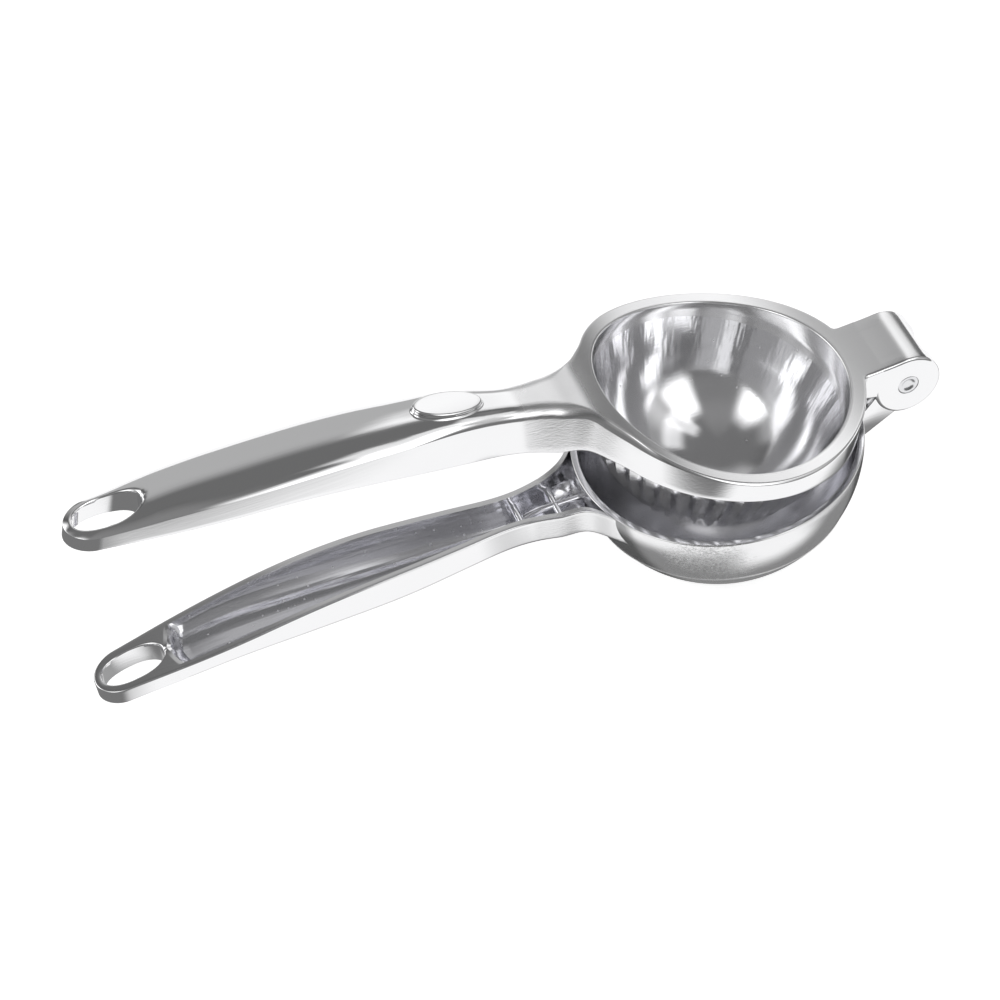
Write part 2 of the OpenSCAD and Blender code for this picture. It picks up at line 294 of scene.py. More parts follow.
def frame_outline():
    """Plan of the upper half of the press frame: the outer edge, the inner edge that each outer
    point looks at, and at which point each stretch ends. The outer edge is the half width, the
    ring's circle and the tongue's straight side. The inner edge is the eye, the middle line, the
    cup and the middle line again."""
    eye = eye_curve(41)
    # Around the eye the outer edge takes the same share of its own length as the eye does.
    edge_x = np.concatenate([TIP_X - TIP_R * np.cos(np.linspace(0, np.pi / 2, 200)),
                             np.linspace(TIP_X, FAN_X, 100)[1:]])
    edge = np.stack([edge_x, half_width(edge_x)], -1)
    run, eye_run = (np.concatenate([[0], np.cumsum(np.hypot(*np.diff(curve, axis=0).T))])
                    for curve in (edge, eye))
    share = eye_run / eye_run[-1] * run[-1]
    outer = [np.stack([np.interp(share, run, edge[:, i]) for i in (0, 1)], -1)]
    inner = [eye]
    # Handle: straight across, fanning out from the eye's inner end
    x = np.linspace(FAN_X, NECK_X, 121)[1:]
    fan = np.interp(x, [FAN_X, STRAIGHT_X], [EYE_X + EYE_L / 2, STRAIGHT_X])
    outer.append(np.stack([x, half_width(x)], -1))
    inner.append(np.stack([np.where(x < STRAIGHT_X, fan, x), 0 * x], -1))
    # Neck: the inner edge runs on to the cup while the outer one starts around the ring
    t = np.linspace(0, 1, 25)[1:]
    x = NECK_X + (RING_X - NECK_X) * t
    outer.append(np.stack([x, half_width(x)], -1))
    inner.append(np.stack([NECK_X - (NECK_X + CUP_Q) * t, 0 * t], -1))
    # Ring: from the neck's fillet to the corner of the tongue
    x = RING_X + (ROOT_X - RING_X) * np.linspace(0, 1, 17)[1:]
    first = np.stack([x, half_width(x)], -1)
    corner = RING_R + FILLET_R
    cy = HALF_HINGE + FILLET_R
    cx = math.sqrt(corner ** 2 - cy ** 2)
    last_angle = math.degrees(math.atan2(cy, cx))
    first_angle = math.degrees(math.atan2(*first[-1][::-1]))
    ring = arc((0, 0), RING_R, first_angle, last_angle, 110)[1:]
    fillet = arc((cx, cy), FILLET_R, last_angle + 180, 270, 9)[1:]
    side = np.concatenate([first, ring, fillet])
    step = np.concatenate([[0], np.cumsum(np.hypot(*np.diff(side, axis=0).T))])
    lead = 2.5
    b = np.pi * (1 - (step + lead) / (step[-1] + lead))
    outer.append(side)
    inner.append(np.stack([CUP_Q * np.cos(b), CUP_Q * np.sin(b)], -1))
    # Tongue: on to where the hinge takes over
    t = np.linspace(0, 1, 6)[1:]
    outer.append(np.stack([cx + (FRAME_END - cx) * t, HALF_HINGE + 0 * t], -1))
    inner.append(np.stack([CUP_Q + (FRAME_END - CUP_Q) * t, 0 * t], -1))
    ends = np.cumsum([len(stretch) for stretch in outer])
    return np.concatenate(outer), np.concatenate(inner), ends


def press_crest(x):
    """Height of the middle line of the press arm's back: over the seam along the handle, and
    the arch on the ring."""
    handle = seam(x) + PART + PRESS_HIGH * spline(PRESS_RISE, along(x))
    return handle + (arch(x) - handle) * smooth(-40, -33, x)


def shoulder(x, y):
    """How the press arm's back falls off to its wall: the width and the drop of the fall and
    the two powers of its curve, each along the handle and then around the ring."""
    angle = np.degrees(np.arctan2(y, x))
    round_ring = smooth(0, 1, (165 - angle) / 45)
    wide = np.where(x < TIP_X, TIP_R, handle_width(x))
    width = np.where(x < -85, wide, wide + (3.9 - wide) * smooth(-85, -58, x))
    width = width + (0.8 - width) * smooth(-46, -36, x)
    drop = CROWN * spline(CROWN_SHARE, np.clip(along(x), -0.05, 1))
    drop = drop + (0.55 - drop) * np.where(x > -45, round_ring, 0)
    first = 2.5 - 0.5 * smooth(-85, -58, x)
    second = 0.92 - 0.42 * smooth(-85, -60, x) + 0.3 * smooth(-48, -38, x)
    return width, drop, first, second


def press_back(x, away, width, drop, first, second):
    """Height of the press arm's back a way in from its edge: the crest less the shoulder's fall,
    which is drop times one less (1 - (1 - t) to the first power) to the second, with t the share
    of the shoulder's width."""
    fall = np.clip(1 - away / width, 0, 1) ** first
    return press_crest(x) - drop * (1 - (1 - fall) ** second)


def press_frame_points(sizes):
    """Closed skin of the handle, the ring and the tongue as strips between the outer and the
    inner edge. A strip starts on the back at the inner edge, runs outward over the shoulder,
    down the wall, around its foot and back in below. The edge of the eye falls as a circle."""
    outer, inner, ends = frame_outline()
    n = len(outer)
    reach = np.hypot(*(inner - outer).T)
    inward = (inner - outer) / reach[:, None]
    curve = [part[:, None] for part in shoulder(*outer.T)]
    curved = np.minimum(curve[0], 0.97 * reach[:, None])
    # Back, from the wall inward
    t = np.concatenate([spaced(19), 1 + np.linspace(0, 1, 13)[1:]])
    flat = np.sin(np.clip(t - 1, 0, 1) * np.pi / 2)
    d = np.where(t <= 1, curved * t, curved + (reach[:, None] - curved) * flat)
    plan = outer[:, None] + (inner - outer)[:, None] * (d / reach[:, None])[..., None]
    back = press_back(plan[..., 0], d, *curve)
    rim = sizes.eye_edge / MM
    gap = np.clip(near_to(plan, eye_curve(400)), 0, rim)
    back -= rim - np.sqrt(rim ** 2 - (rim - gap) ** 2)
    top = np.concatenate([plan, back[..., None]], -1)[:, ::-1]
    # Wall and its rounded foot, which stands higher under the tongue
    foot = seam(outer[:, 0]) + PART + (RIM_GAP - PART) * smooth(-40, -34, outer[:, 0])
    on_tongue = (outer[:, 0] > 0) & (outer[:, 1] < TONGUE_SIDE)
    low = np.where(on_tongue, TONGUE_LOW, foot)
    edge_top = back[:, 0]
    v = np.linspace(0, 1, 7)[1:-1]
    wall_z = np.concatenate([edge_top[:, None] - [0.04, 0.16],
                             edge_top[:, None] + (low + FOOT_R - edge_top)[:, None] * v], 1)
    wall = np.concatenate([np.broadcast_to(outer[:, None], (n, 7, 2)), wall_z[..., None]], -1)
    foot_in = FOOT_R * (1 - np.cos(QUARTER))
    foot_plan = outer[:, None] + inward[:, None] * foot_in[None, :, None]
    foot_z = low[:, None] + FOOT_R * (1 - np.sin(QUARTER))
    edge = np.concatenate([foot_plan, foot_z[..., None]], -1)
    # Where the tongue leaves the ring the underside steps down to the ring's own foot.
    cross = np.zeros(n)
    b = (outer * inward).sum(1)
    c = np.hypot(*outer.T) ** 2 - RING_R ** 2
    beyond = on_tongue & (c > 0)
    cross[beyond] = (-b - np.sqrt(np.maximum(b ** 2 - c, 0)))[beyond]
    cross = np.clip(cross, FOOT_R, reach)
    ring_foot = np.where(on_tongue, np.where(cross < reach - 0.01, RIM_GAP, TONGUE_LOW), foot)
    step_in = FOOT_R + (cross - FOOT_R)[:, None] * np.linspace(0, 1, 4)
    step_plan = outer[:, None] + inward[:, None] * step_in[..., None]
    step = np.concatenate([step_plan, np.broadcast_to(low[:, None, None], (n, 4, 1))], -1)
    d = cross[:, None] + (reach - cross)[:, None] * np.linspace(0, 1, 22)
    under_plan = outer[:, None] + inward[:, None] * d[..., None]
    under = np.concatenate([under_plan, press_under(under_plan, d, ring_foot)[..., None]], -1)
    outside = np.concatenate([top, wall, edge, step, under], 1)
    # Wall of the eye and of the ring's own hole
    t = np.linspace(0, 1, 9)
    inside = under[:, -1:] + (top[:, :1] - under[:, -1:]) * t[None, :, None]
    hole_cells = np.zeros((n - 1, 8), bool)
    hole_cells[:ends[0] - 1] = True
    hole_cells[ends[2] - 1:ends[3] - 1] = True
    return weld([(outside, None), (inside, hole_cells)], mirrored=True)


def press_under(plan, d, foot):
    """Underside of the press frame: the foot's level, with a hollow in the handle that starts
    2 mm in from the edge and rises to 2.3 mm under the crest along (1 - (1 - t) to the power of
    2.6) to the power of 0.42, with t the share of the way in."""
    x = plan[..., 0]
    wall = 2
    wide = handle_width(x) - wall
    t = np.clip((d - wall) / np.maximum(wide, 0.5), 0, 1)
    level = foot[:, None] + 0 * d
    # The foot keeps clear of the bowl's rim, and comes down just outside it.
    far = np.hypot(plan[..., 0], plan[..., 1])
    over_rim = RIM_GAP - 1.2 * smooth(35.8, 38, far)
    level = np.where(far < 38, np.maximum(level, over_rim), level)
    high = np.maximum(press_crest(x) - 2.3 - level, 0)
    ends = smooth(-140.4, -134, x) * (1 - smooth(-40.5, -37.2, x))
    return level + high * (1 - (1 - t) ** 2.6) ** 0.42 * ends


def oval_pad_points(sizes):
    """Oval pad on the neck: rings of one oval, from the middle of its slightly domed top out
    over a rounded edge, down its side and out along a concave foot onto the handle's back."""
    a = np.linspace(0, 2 * np.pi, 121)
    centre = -BOWL_R - 0.28 * SPAN
    top = float(press_crest(np.array(centre))) + sizes.pad_rise / MM
    long, wide = 8.5, 4.1
    edge, dome, foot = 0.55, 0.12, 0.7
    rows = [((long - edge) * share, (wide - edge) * share, top + dome * (1 - share ** 2))
            for share in (0, 0.35, 0.7, 0.9)]
    for b in np.radians([0, 18, 36, 54, 72, 90]):
        out = -edge + edge * math.sin(b)
        rows.append((long + out, wide + out, top - edge * (1 - math.cos(b))))
    rings = [np.stack([centre + rx * np.cos(a), ry * np.sin(a), np.full_like(a, z)], -1)
             for rx, ry, z in rows]
    for b in np.radians([0, 15, 30, 45, 60, 75, 90]):
        out = foot * (1 - math.cos(b))
        x, y = centre + (long + out) * np.cos(a), (wide + out) * np.sin(a)
        ground = ground_height(x, y)
        lift = np.minimum(foot * (1 - math.sin(b)), np.maximum(top - edge - ground, 0.02))
        rings.append(np.stack([x, y, ground + lift - 0.03], -1))
    # The underside is sunk into the handle's wall.
    x, y = centre + (long + foot) * np.cos(a), (wide + foot) * np.sin(a)
    ground = ground_height(x, y)
    for share in (1, 0.6, 0):
        rings.append(np.stack([centre + (x - centre) * share, y * share,
                               ground * share + (1 - share) * (top - 2) - 0.6], -1))
    return weld([(np.stack(rings, 0), None)])


def ground_height(x, y):
    """Height of the press handle's back at a plan point."""
    away = half_width(x) - np.abs(y)
    return press_back(x, away, *shoulder(x, np.abs(y)))


def press_cup_points(sizes):
    """Closed shell of the press cup. Inside: a sphere of 29.2 mm, from the latitude where its
    wall leans 16.7 degrees a cone out to 31.1 mm, the wall up to the arch and a rounded lip.
    Outside: down within the ring, then a sphere of 31.4 mm with its flutes. Their depth goes
    with the sine of half as many turns, to the power of 0.9, and runs out toward the pole."""
    a = np.linspace(0, 2 * np.pi, 481)
    inner_r, lift, cup_r, dome_r, lean = 29.2, 3.0, 31.1, 31.4, 16.7
    level = np.radians(np.concatenate([[-90], np.linspace(-88.5, -lean, 46)]))
    r, z = inner_r * np.cos(level), lift + inner_r * np.sin(level)
    t = np.linspace(0, 1, 9)[1:]
    r = np.concatenate([r, r[-1] + (cup_r - r[-1]) * t])
    slope = math.radians(lean)
    z = np.concatenate([z, z[-1] + (cup_r - inner_r * math.cos(slope)) / math.tan(slope) * t])
    inside = around(r, z, a)
    lip = sizes.cup_lip / MM
    bend = np.radians(np.linspace(0, 90, 7))
    q = np.concatenate([cup_r + lip * (1 - np.cos(bend)), [CUP_Q, CUP_Q + 0.03]])
    fall = np.concatenate([lip * (1 - np.sin(bend)), [0, 0.05]])
    rim = around(q, arch(q * np.cos(a)[:, None]) - fall, a)
    foot = around(q[-1:], 1.3, a)
    level = np.radians(np.concatenate([np.linspace(-4.2, -60, 60), np.linspace(-61, -89, 29),
                                       [-90]]))
    deep = sizes.flute_depth / MM * smooth(-84, -55, np.degrees(level))
    flute = np.abs(np.sin(sizes.flutes / 2 * a)) ** 0.9
    r = dome_r - deep[None] * flute[:, None]
    dome = around(r * np.cos(level), lift + r * np.sin(level), a)
    return weld([(np.concatenate([inside, rim, foot, dome], 1), None)])


# ---- Hinge of the press arm ----

# Radius of the ears, their side toward the lug, and the bores and the rod around the hinge's axis
EAR_R, EAR_IN = 8.5, 5.3
EAR_BORE, LUG_BORE, PIN_R = 2.72, 2.75, 2.7
# Directions from the pin, in degrees, where the tongue's top meets the ears and the cap ends
CREST_ANGLE, CAP_END = 112, 62


def hinge_top(count):
    """Side outline of the tongue's top from the frame to the barrel: the arch, eased down by
    the fifth of a millimetre by which it passes over the barrel's circle."""
    end = PIN[0] + EAR_R * math.cos(math.radians(CREST_ANGLE))
    x = np.linspace(FRAME_END, end, count)
    z_end = PIN[1] + EAR_R * math.sin(math.radians(CREST_ANGLE))
    return np.stack([x, arch(x) - (arch(end) - z_end) * smooth(FRAME_END - 3, end, x)], -1)


def slab_points(profile, low, high, radius=0):
    """Slab of a side outline of (x, z) between two values of y, with its edges rounded: rows of
    the outline go from one side to the other, each moved in along its normal by radius less
    radius times the cosine of the edge's turn. Its two ends are filled later as flat faces."""
    p = np.array(profile, float)
    ahead, behind = np.roll(p, -1, 0), np.roll(p, 1, 0)
    run = (ahead - behind) / np.hypot(*(ahead - behind).T)[:, None]
    area = np.sum(p[:, 0] * ahead[:, 1] - p[:, 1] * ahead[:, 0])
    inward = np.stack([-run[:, 1], run[:, 0]], -1) * np.sign(area)
    rows = [(radius * (1 - math.cos(b)), low + radius * (1 - math.sin(b)))
            for b in QUARTER[::-1]]
    rows += [(radius * (1 - math.cos(b)), high - radius * (1 - math.sin(b))) for b in QUARTER]
    ring = np.stack([np.insert(p + inward * d, 1, y, axis=1) for d, y in rows], 0)
    return weld([(np.concatenate([ring, ring[:, :1]], 1), None)])


def ear_points(side, edge):
    """One ear with its end of the tongue, from the lug's side to the outer one, as an outline
    carried around the pin. Rays from the pin's hole go out to the outline, and the outer edge
    is a quarter circle."""
    top = hinge_top(10)
    circle = arc(PIN, EAR_R, CREST_ANGLE, -162.1, 110)
    high = arch(FRAME_END)
    back = np.stack([np.full(8, FRAME_END), np.linspace(TONGUE_LOW, high, 8)], -1)[1:-1]
    p = np.concatenate([top, circle[1:], back])
    ray = p - PIN
    angle = np.arctan2(ray[:, 1], ray[:, 0])
    hole = PIN + EAR_BORE * np.stack([np.cos(angle), np.sin(angle)], -1)
    ahead, behind = np.roll(p, -1, 0), np.roll(p, 1, 0)
    run = (ahead - behind) / np.hypot(*(ahead - behind).T)[:, None]
    inward = np.stack([run[:, 1], -run[:, 0]], -1)
    # The end that meets the frame stays flat.
    flat = (p[:, 0] < FRAME_END + 0.01)
    inward[flat] = [0, -1]
    inward[flat & (p[:, 1] < 5)] = [0, 1]
    inward[flat & (p[:, 1] > 5) & (p[:, 1] < high - 0.5)] = [0, 0]
    rows = [(hole, EAR_IN), (p, EAR_IN)]
    rows += [(p, y) for y in np.linspace(EAR_IN, HALF_HINGE - edge, 3)[1:]]
    for b in np.radians([15, 30, 45, 60, 75, 90]):
        rows.append((p + inward * edge * (1 - math.cos(b)),
                     HALF_HINGE - edge * (1 - math.sin(b))))
    last = rows[-1][0]
    rows += [(hole + (last - hole) * 0.12, HALF_HINGE), (hole, HALF_HINGE - 0.12), (hole, EAR_IN)]
    grid = np.stack([np.insert(q, 1, y * side, axis=1) for q, y in rows], 0)
    return weld([(np.concatenate([grid, grid[:, :1]], 1), None)])


def hinge_cap_points():
    """The tongue's middle with its cap over the lug: the top outline from the frame around the
    barrel to the cap's end, back along the lug's clearance circle and along the underside."""
    clear = 6.2
    top = hinge_top(10)
    over = arc(PIN, EAR_R, CREST_ANGLE, CAP_END, 16)[1:]
    under = arc(PIN, clear, CAP_END, 180, 30)
    foot = np.array([[PIN[0] - clear, TONGUE_LOW], [FRAME_END, TONGUE_LOW]])
    profile = np.concatenate([top, over, under, foot])
    half = EAR_IN + 0.05
    return slab_points(profile, -half, half)


# ---- Bowl arm ----

# Thickness of the bowl's wall, and width of the rim beside the handle's channel
BOWL_WALL, CHANNEL_RIM = 1.8, 1.7
# The juice holes: how far along the wall the first row lies from the pole, how far apart the rows
# are, and the directions of the holes in each
HOLE_START, HOLE_PITCH = 10.2, 7.0
HOLE_ROWS = ((60, 90, 120), (50, 70, 90, 110, 130))
# The parting line's latitude in degrees, and its height in metres in the part's frame
PARTING = -27.0
PARTING_Z = (BOWL_R * math.sin(math.radians(PARTING)) + TO_FRAME[2]) * MM
# The scuffed patch of the bulge, in metres in the part's frame
SCUFF_AT = (0.037, -0.031, 0.0275)


def bowl_shell_points(sizes):
    """Closed half shell turned around the bowl's axis: outside from the pole up to the rim, over
    a rounded rim and down the inside. The mould's parting line stands out as a bell curve
    around one latitude."""
    rim = sizes.bowl_rim / MM
    below, above = PARTING - 2, PARTING + 2
    out = np.radians(np.concatenate([[-90], np.linspace(-88.5, below, 50),
                                     np.linspace(below, above, 17)[1:-1],
                                     np.linspace(above, -0.6, 26)]))
    inn = np.radians(np.concatenate([np.linspace(-0.6, -88.5, 70), [-90]]))
    r_in = BOWL_R - BOWL_WALL
    bell = np.exp(-((np.degrees(out) - PARTING) / 0.75) ** 2)
    line = BOWL_R + sizes.parting_line / MM * bell
    profile = np.concatenate([np.stack([line * np.cos(out), line * np.sin(out)], -1),
                              arc((BOWL_R - rim, -rim), rim, 0, 90, 6),
                              arc((r_in + rim, -rim), rim, 90, 180, 6),
                              np.stack([r_in * np.cos(inn), r_in * np.sin(inn)], -1)])
    return weld([(around(*profile.T, np.linspace(0, 2 * np.pi, 289)), None)])


def bowl_handle_points():
    """Closed skin of the bowl arm's handle: the press handle's plan turned over, with the open
    channel above. The round back below rises toward the wall by one less (1 - q to the power of
    2.3) to the power of 0.6, with q the share of the way out. What would reach into the bowl is
    pressed out to a sphere within the bowl's wall."""
    outer, inner, ends = frame_outline()
    x = np.linspace(NECK_X, ROOT_X, 46)[1:]
    outer = np.concatenate([outer[:ends[1]], np.stack([x, half_width(x)], -1)])
    inner = np.concatenate([inner[:ends[1]], np.stack([x, 0 * x], -1)])
    reach = np.hypot(*(inner - outer).T)
    inward = (inner - outer) / reach[:, None]
    level = seam(outer[:, 0]) - PART
    # Top: rounded edge, flat rim, then the channel
    edge, eye_edge = 0.3, 0.45
    d = np.concatenate([edge * (1 - np.cos(QUARTER)), [0.9, 1.4, CHANNEL_RIM]])
    first = np.minimum(d[None], reach[:, None] * 0.98)
    start = np.minimum(CHANNEL_RIM, reach * 0.98)
    second = start[:, None] + (reach - start)[:, None] * spaced(34)[1:]
    d = np.concatenate([first, second], 1)
    plan = outer[:, None] + inward[:, None] * d[..., None]
    round_off = edge ** 2 - np.clip(edge - d, 0, edge) ** 2
    z = seam(plan[..., 0]) - PART - (edge - np.sqrt(np.maximum(round_off, 0)))
    z -= channel_depth(plan, d)
    gap = np.clip(near_to(plan, eye_curve(400)), 0, eye_edge)
    z -= eye_edge - np.sqrt(eye_edge ** 2 - (eye_edge - gap) ** 2)
    top = np.concatenate([plan, z[..., None]], -1)[:, ::-1]
    # Outer wall with a draft of 6 in 100, and the rounded back
    fall = BOWL_DEEP * spline(BOWL_FALL, along(outer[:, 0]))
    crown = CROWN * spline(CROWN_SHARE, np.clip(along(outer[:, 0]), -0.05, 1))
    v = np.linspace(0, 1, 9)[1:]
    wall_z = (level - edge)[:, None] - (fall - crown - edge)[:, None] * v
    wall_in = 0.06 * (level[:, None] - wall_z)
    wall_plan = outer[:, None] + inward[:, None] * wall_in[..., None]
    wall = np.concatenate([wall_plan, wall_z[..., None]], -1)
    t = spaced(22)[1:]
    away = wall_in[:, -1:] + (reach[:, None] - wall_in[:, -1:]) * t
    plan = outer[:, None] + inward[:, None] * away[..., None]
    wide = handle_width(outer[:, :1]).clip(TIP_R)
    q = np.where(outer[:, :1] < -139, np.clip(1 - away / wide, 0, 1), 1 - t)
    z = (level - fall)[:, None] + crown[:, None] * (1 - (1 - q ** 2.3) ** 0.6)
    back = np.concatenate([plan, z[..., None]], -1)
    outside = np.concatenate([top, wall, back], 1)
    t = np.linspace(0, 1, 9)
    inside = back[:, -1:] + (top[:, :1] - back[:, -1:]) * t[None, :, None]
    cells = np.zeros((len(outer) - 1, 8), bool)
    cells[:ends[0] - 1] = True
    points, faces = weld([(outside, None), (inside, cells)], mirrored=True)
    far = np.linalg.norm(points, axis=1)
    points *= np.maximum(1, 34.9 / np.maximum(far, 1e-6))[:, None]
    return points, faces


def channel_depth(plan, d):
    """Depth of the bowl handle's channel: none on its rim, then down to 2.2 mm over the handle's
    back along the square root of one less (1 - t) to the power of 2.4, with t the share of the
    way in. It ends in a slope before the eye."""
    x = plan[..., 0]
    wide = np.maximum(handle_width(x) - CHANNEL_RIM, 0.5)
    t = np.clip((d - CHANNEL_RIM) / wide, 0, 1)
    deep = BOWL_DEEP * spline(BOWL_FALL, along(x)) - 2.2
    bow = 1.6 * (plan[..., 1] / 7) ** 2
    ends = smooth(-141.2 + bow, -137.2 + bow, x)
    return deep * (1 - (1 - t) ** 2.4) ** 0.5 * ends


def neck_rib_points(thickness):
    """Three ribs in the neck's pocket, each a slab with a rounded top: one along the middle, which
    climbs out of the channel's floor in an S curve over its first 17 mm, and two across, from the
    floor up to 4.2 mm under the bowl's rim."""
    thick, low, high = thickness / 2, -9.6, -4.2
    bend = np.radians(np.linspace(0, 180, 9))
    crest = np.stack([thick * np.cos(bend), high - thick + thick * np.sin(bend)], -1)
    section = np.concatenate([[[thick, low]], crest, [[-thick, low]], [[thick, low]]])
    ribs = [((-62.5, 0), (-35.2, 0), 0.97)]
    for x in (-42.5, -51.9):
        half = float(half_width(x)) - 1.2
        ribs.append(((x, -half), (x, half), 0))
    grids = []
    t = np.linspace(0, 1, 13)[:, None]
    for start, end, climb in ribs:
        start, end = np.array(start), np.array(end)
        ahead = (end - start) / np.hypot(*(end - start))
        side = np.array([-ahead[1], ahead[0]])
        foot = (start + (end - start) * t)[:, None] + side * section[None, :, :1]
        share = 1 - climb * (1 - smooth(0, 0.62, t))
        height = low + (section[None, :, 1:] - low) * share[:, None]
        grids.append((np.concatenate([foot, height], -1), None))
    return weld(grids)


def lug_points():
    """The lug's arm from the bowl's wall up to the knuckle: a slab of ten corners."""
    profile = [(34.2, -2.75), (37.0, -2.3), (38.6, -0.6), (40.7, 1.6), (41.2, 4.4),
               (43.5, 4.2), (45.5, 1.4), (46.6, -5.6), (45.4, -6.1), (31.9, -14.2)]
    return slab_points(profile, -4.97, 4.97, radius=0.5)


def knuckle_points():
    """Ring of the lug around the pin: its bore, and an outside with quarter circles at its
    edges, turned around the pin."""
    r, edge, half = 5.9, 0.5, 5.0
    outer = [(r - edge + edge * math.cos(b), half - edge + edge * math.sin(b))
             for b in QUARTER[::-1]]
    ends = [(LUG_BORE, -half), (LUG_BORE, half)]
    return turned_on_pin(ends + outer + [(q, -y) for q, y in outer[::-1]] + ends[:1], 96)


def pin_points():
    """The pin: a rod turned around its axis, with dished ends that keep a narrow rounded ring."""
    half = 9.15
    end = [(0, half - 0.42), (1.0, half - 0.4), (1.45, half - 0.28), (1.75, half - 0.03),
           (2.0, half), (2.45, half), (2.62, half - 0.07), (PIN_R, half - 0.25)]
    return turned_on_pin(end + [(q, -y) for q, y in end[::-1]], 64)


def pierce(made, diameter):
    """Drills the juice holes square to the wall: two rows of a fan on each side, each hole a
    short rod turned out along the sphere, are taken away from the shell's mesh."""
    grids = []
    t = np.linspace(0, 2 * np.pi, 25)[:, None]
    for row, angles in enumerate(HOLE_ROWS):
        lean = (HOLE_START + row * HOLE_PITCH) / BOWL_R
        for turn in np.radians([side * a for side in (-1, 1) for a in angles]):
            out = np.array([math.sin(lean) * math.cos(turn), math.sin(lean) * math.sin(turn),
                            -math.cos(lean)])
            side = np.array([-math.sin(turn), math.cos(turn), 0])
            ring = diameter / 2 * (np.cos(t) * side + np.sin(t) * np.cross(out, side))
            grids.append((np.stack([ring + out * r for r in (BOWL_R - 4, BOWL_R + 2)]), None))
    points, faces = weld(grids)
    mesh = bpy.data.meshes.new("rods")
    mesh.from_pydata(((points + TO_FRAME) * MM).tolist(), [], faces.tolist())
    tidy(mesh)
    rods = bpy.data.objects.new("rods", mesh)
    bpy.context.scene.collection.objects.link(rods)
    cut = made.modifiers.new("juice_holes", "BOOLEAN")
    cut.operation, cut.solver, cut.object = "DIFFERENCE", "EXACT", rods
    seen = made.evaluated_get(bpy.context.evaluated_depsgraph_get())
    pierced = bpy.data.meshes.new_from_object(seen)
    made.modifiers.clear()
    lowest = []
    for each in (made.data, pierced):
        places = np.empty(len(each.vertices) * 3)
        each.vertices.foreach_get("co", places)
        lowest.append(places[2::3].min())
    # A rod that is left over hangs out below the bowl.
    if lowest[1] < lowest[0] - 0.1 * MM:
        raise RuntimeError("the juice holes can't be drilled through a bowl of these sizes")
    made.data = pierced
    bpy.data.objects.remove(rods)
    tidy(pierced)


# ---- Nodes and materials ----

SMOOTH = {"interpolation_type": "SMOOTHSTEP"}


def to_linear(hex_colour):
    """Linear colour with alpha from an sRGB hex value: each channel is divided by 12.92 when
    it is dark, and otherwise goes through the power curve of 2.4."""
    s = np.array([int(hex_colour[i:i + 2], 16) / 255 for i in (1, 3, 5)])
    linear = np.where(s <= 0.04045, s / 12.92, ((s + 0.055) / 1.055) ** 2.4)
    return (*(float(v) for v in linear), 1.0)


def add_node(tree, kind, settings=None, **sockets):
    """Adds one node. Settings are its own attributes, or its operation as a word. Each socket is
    named with underscores for spaces, or _0, _1 by its place, and takes a value, an output, or
    a node, whose first output in use feeds it."""
    made = tree.nodes.new(kind)
    settings = {"operation": settings} if isinstance(settings, str) else settings or {}
    for name, value in settings.items():
        setattr(made, name, value)
    for name, value in sockets.items():
        socket = made.inputs[int(name[1:]) if name[0] == "_" else name.replace("_", " ")]
        if isinstance(value, bpy.types.Node):
            value = next(output for output in value.outputs if output.enabled)
        if isinstance(value, bpy.types.NodeSocket):
            tree.links.new(value, socket)
        else:
            socket.default_value = value
    return made


def new_material(name):
    """An empty node material, its tree, and the object's own coordinates in metres."""
    made = bpy.data.materials.new(name)
    made.use_nodes = True
    made.node_tree.nodes.clear()
    return made, made.node_tree, add_node(made.node_tree, "ShaderNodeTexCoord").outputs["Object"]


def long_marks(tree, place, run, width, turn=(0, 0, 0)):
    """Marks that all run one way: a noise drawn out to run mm along X and width mm across it."""
    drawn = add_node(tree, "ShaderNodeMapping", Vector=place, Rotation=turn,
                     Scale=(1 / (run * MM), 1 / (width * MM), 1 / (width * MM)))
    return add_node(tree, "ShaderNodeTexNoise", Vector=drawn, Scale=1.0, Detail=2.0)


def specks(tree, place, spacing, size, share):
    """Pits in the casting: dots around the middles of Voronoi cells, kept in a share of them."""
    cells = add_node(tree, "ShaderNodeTexVoronoi", Vector=place, Scale=1 / (spacing * MM))
    dot = add_node(tree, "ShaderNodeMapRange", Value=cells.outputs["Distance"],
                   From_Min=size / spacing, From_Max=0.5 * size / spacing)
    draw = add_node(tree, "ShaderNodeSeparateColor", Color=cells.outputs["Color"])
    kept = add_node(tree, "ShaderNodeMath", "LESS_THAN", _0=draw.outputs["Red"], _1=share)
    return add_node(tree, "ShaderNodeMath", "MULTIPLY", _0=dot, _1=kept)


def wiping_marks(tree, place, low, high):
    """Roughness of a wiped mirror: patches some 15 mm across between two values."""
    marks = add_node(tree, "ShaderNodeTexNoise", Vector=place, Scale=1 / (15 * MM), Detail=4.0)
    return add_node(tree, "ShaderNodeMapRange", Value=marks, From_Min=0.3, From_Max=0.7,
                    To_Min=low, To_Max=high)


def neck_brushing(tree, place):
    """Share of the brush on the castings' necks, full between 4 and 17 mm along the part."""
    along_x = add_node(tree, "ShaderNodeSeparateXYZ", Vector=place).outputs["X"]
    start = add_node(tree, "ShaderNodeMapRange", SMOOTH, Value=along_x, From_Min=1 * MM,
                     From_Max=4 * MM)
    end = add_node(tree, "ShaderNodeMapRange", SMOOTH, Value=along_x, From_Min=26 * MM,
                   From_Max=17 * MM)
    return add_node(tree, "ShaderNodeMath", "MULTIPLY", _0=start, _1=end)


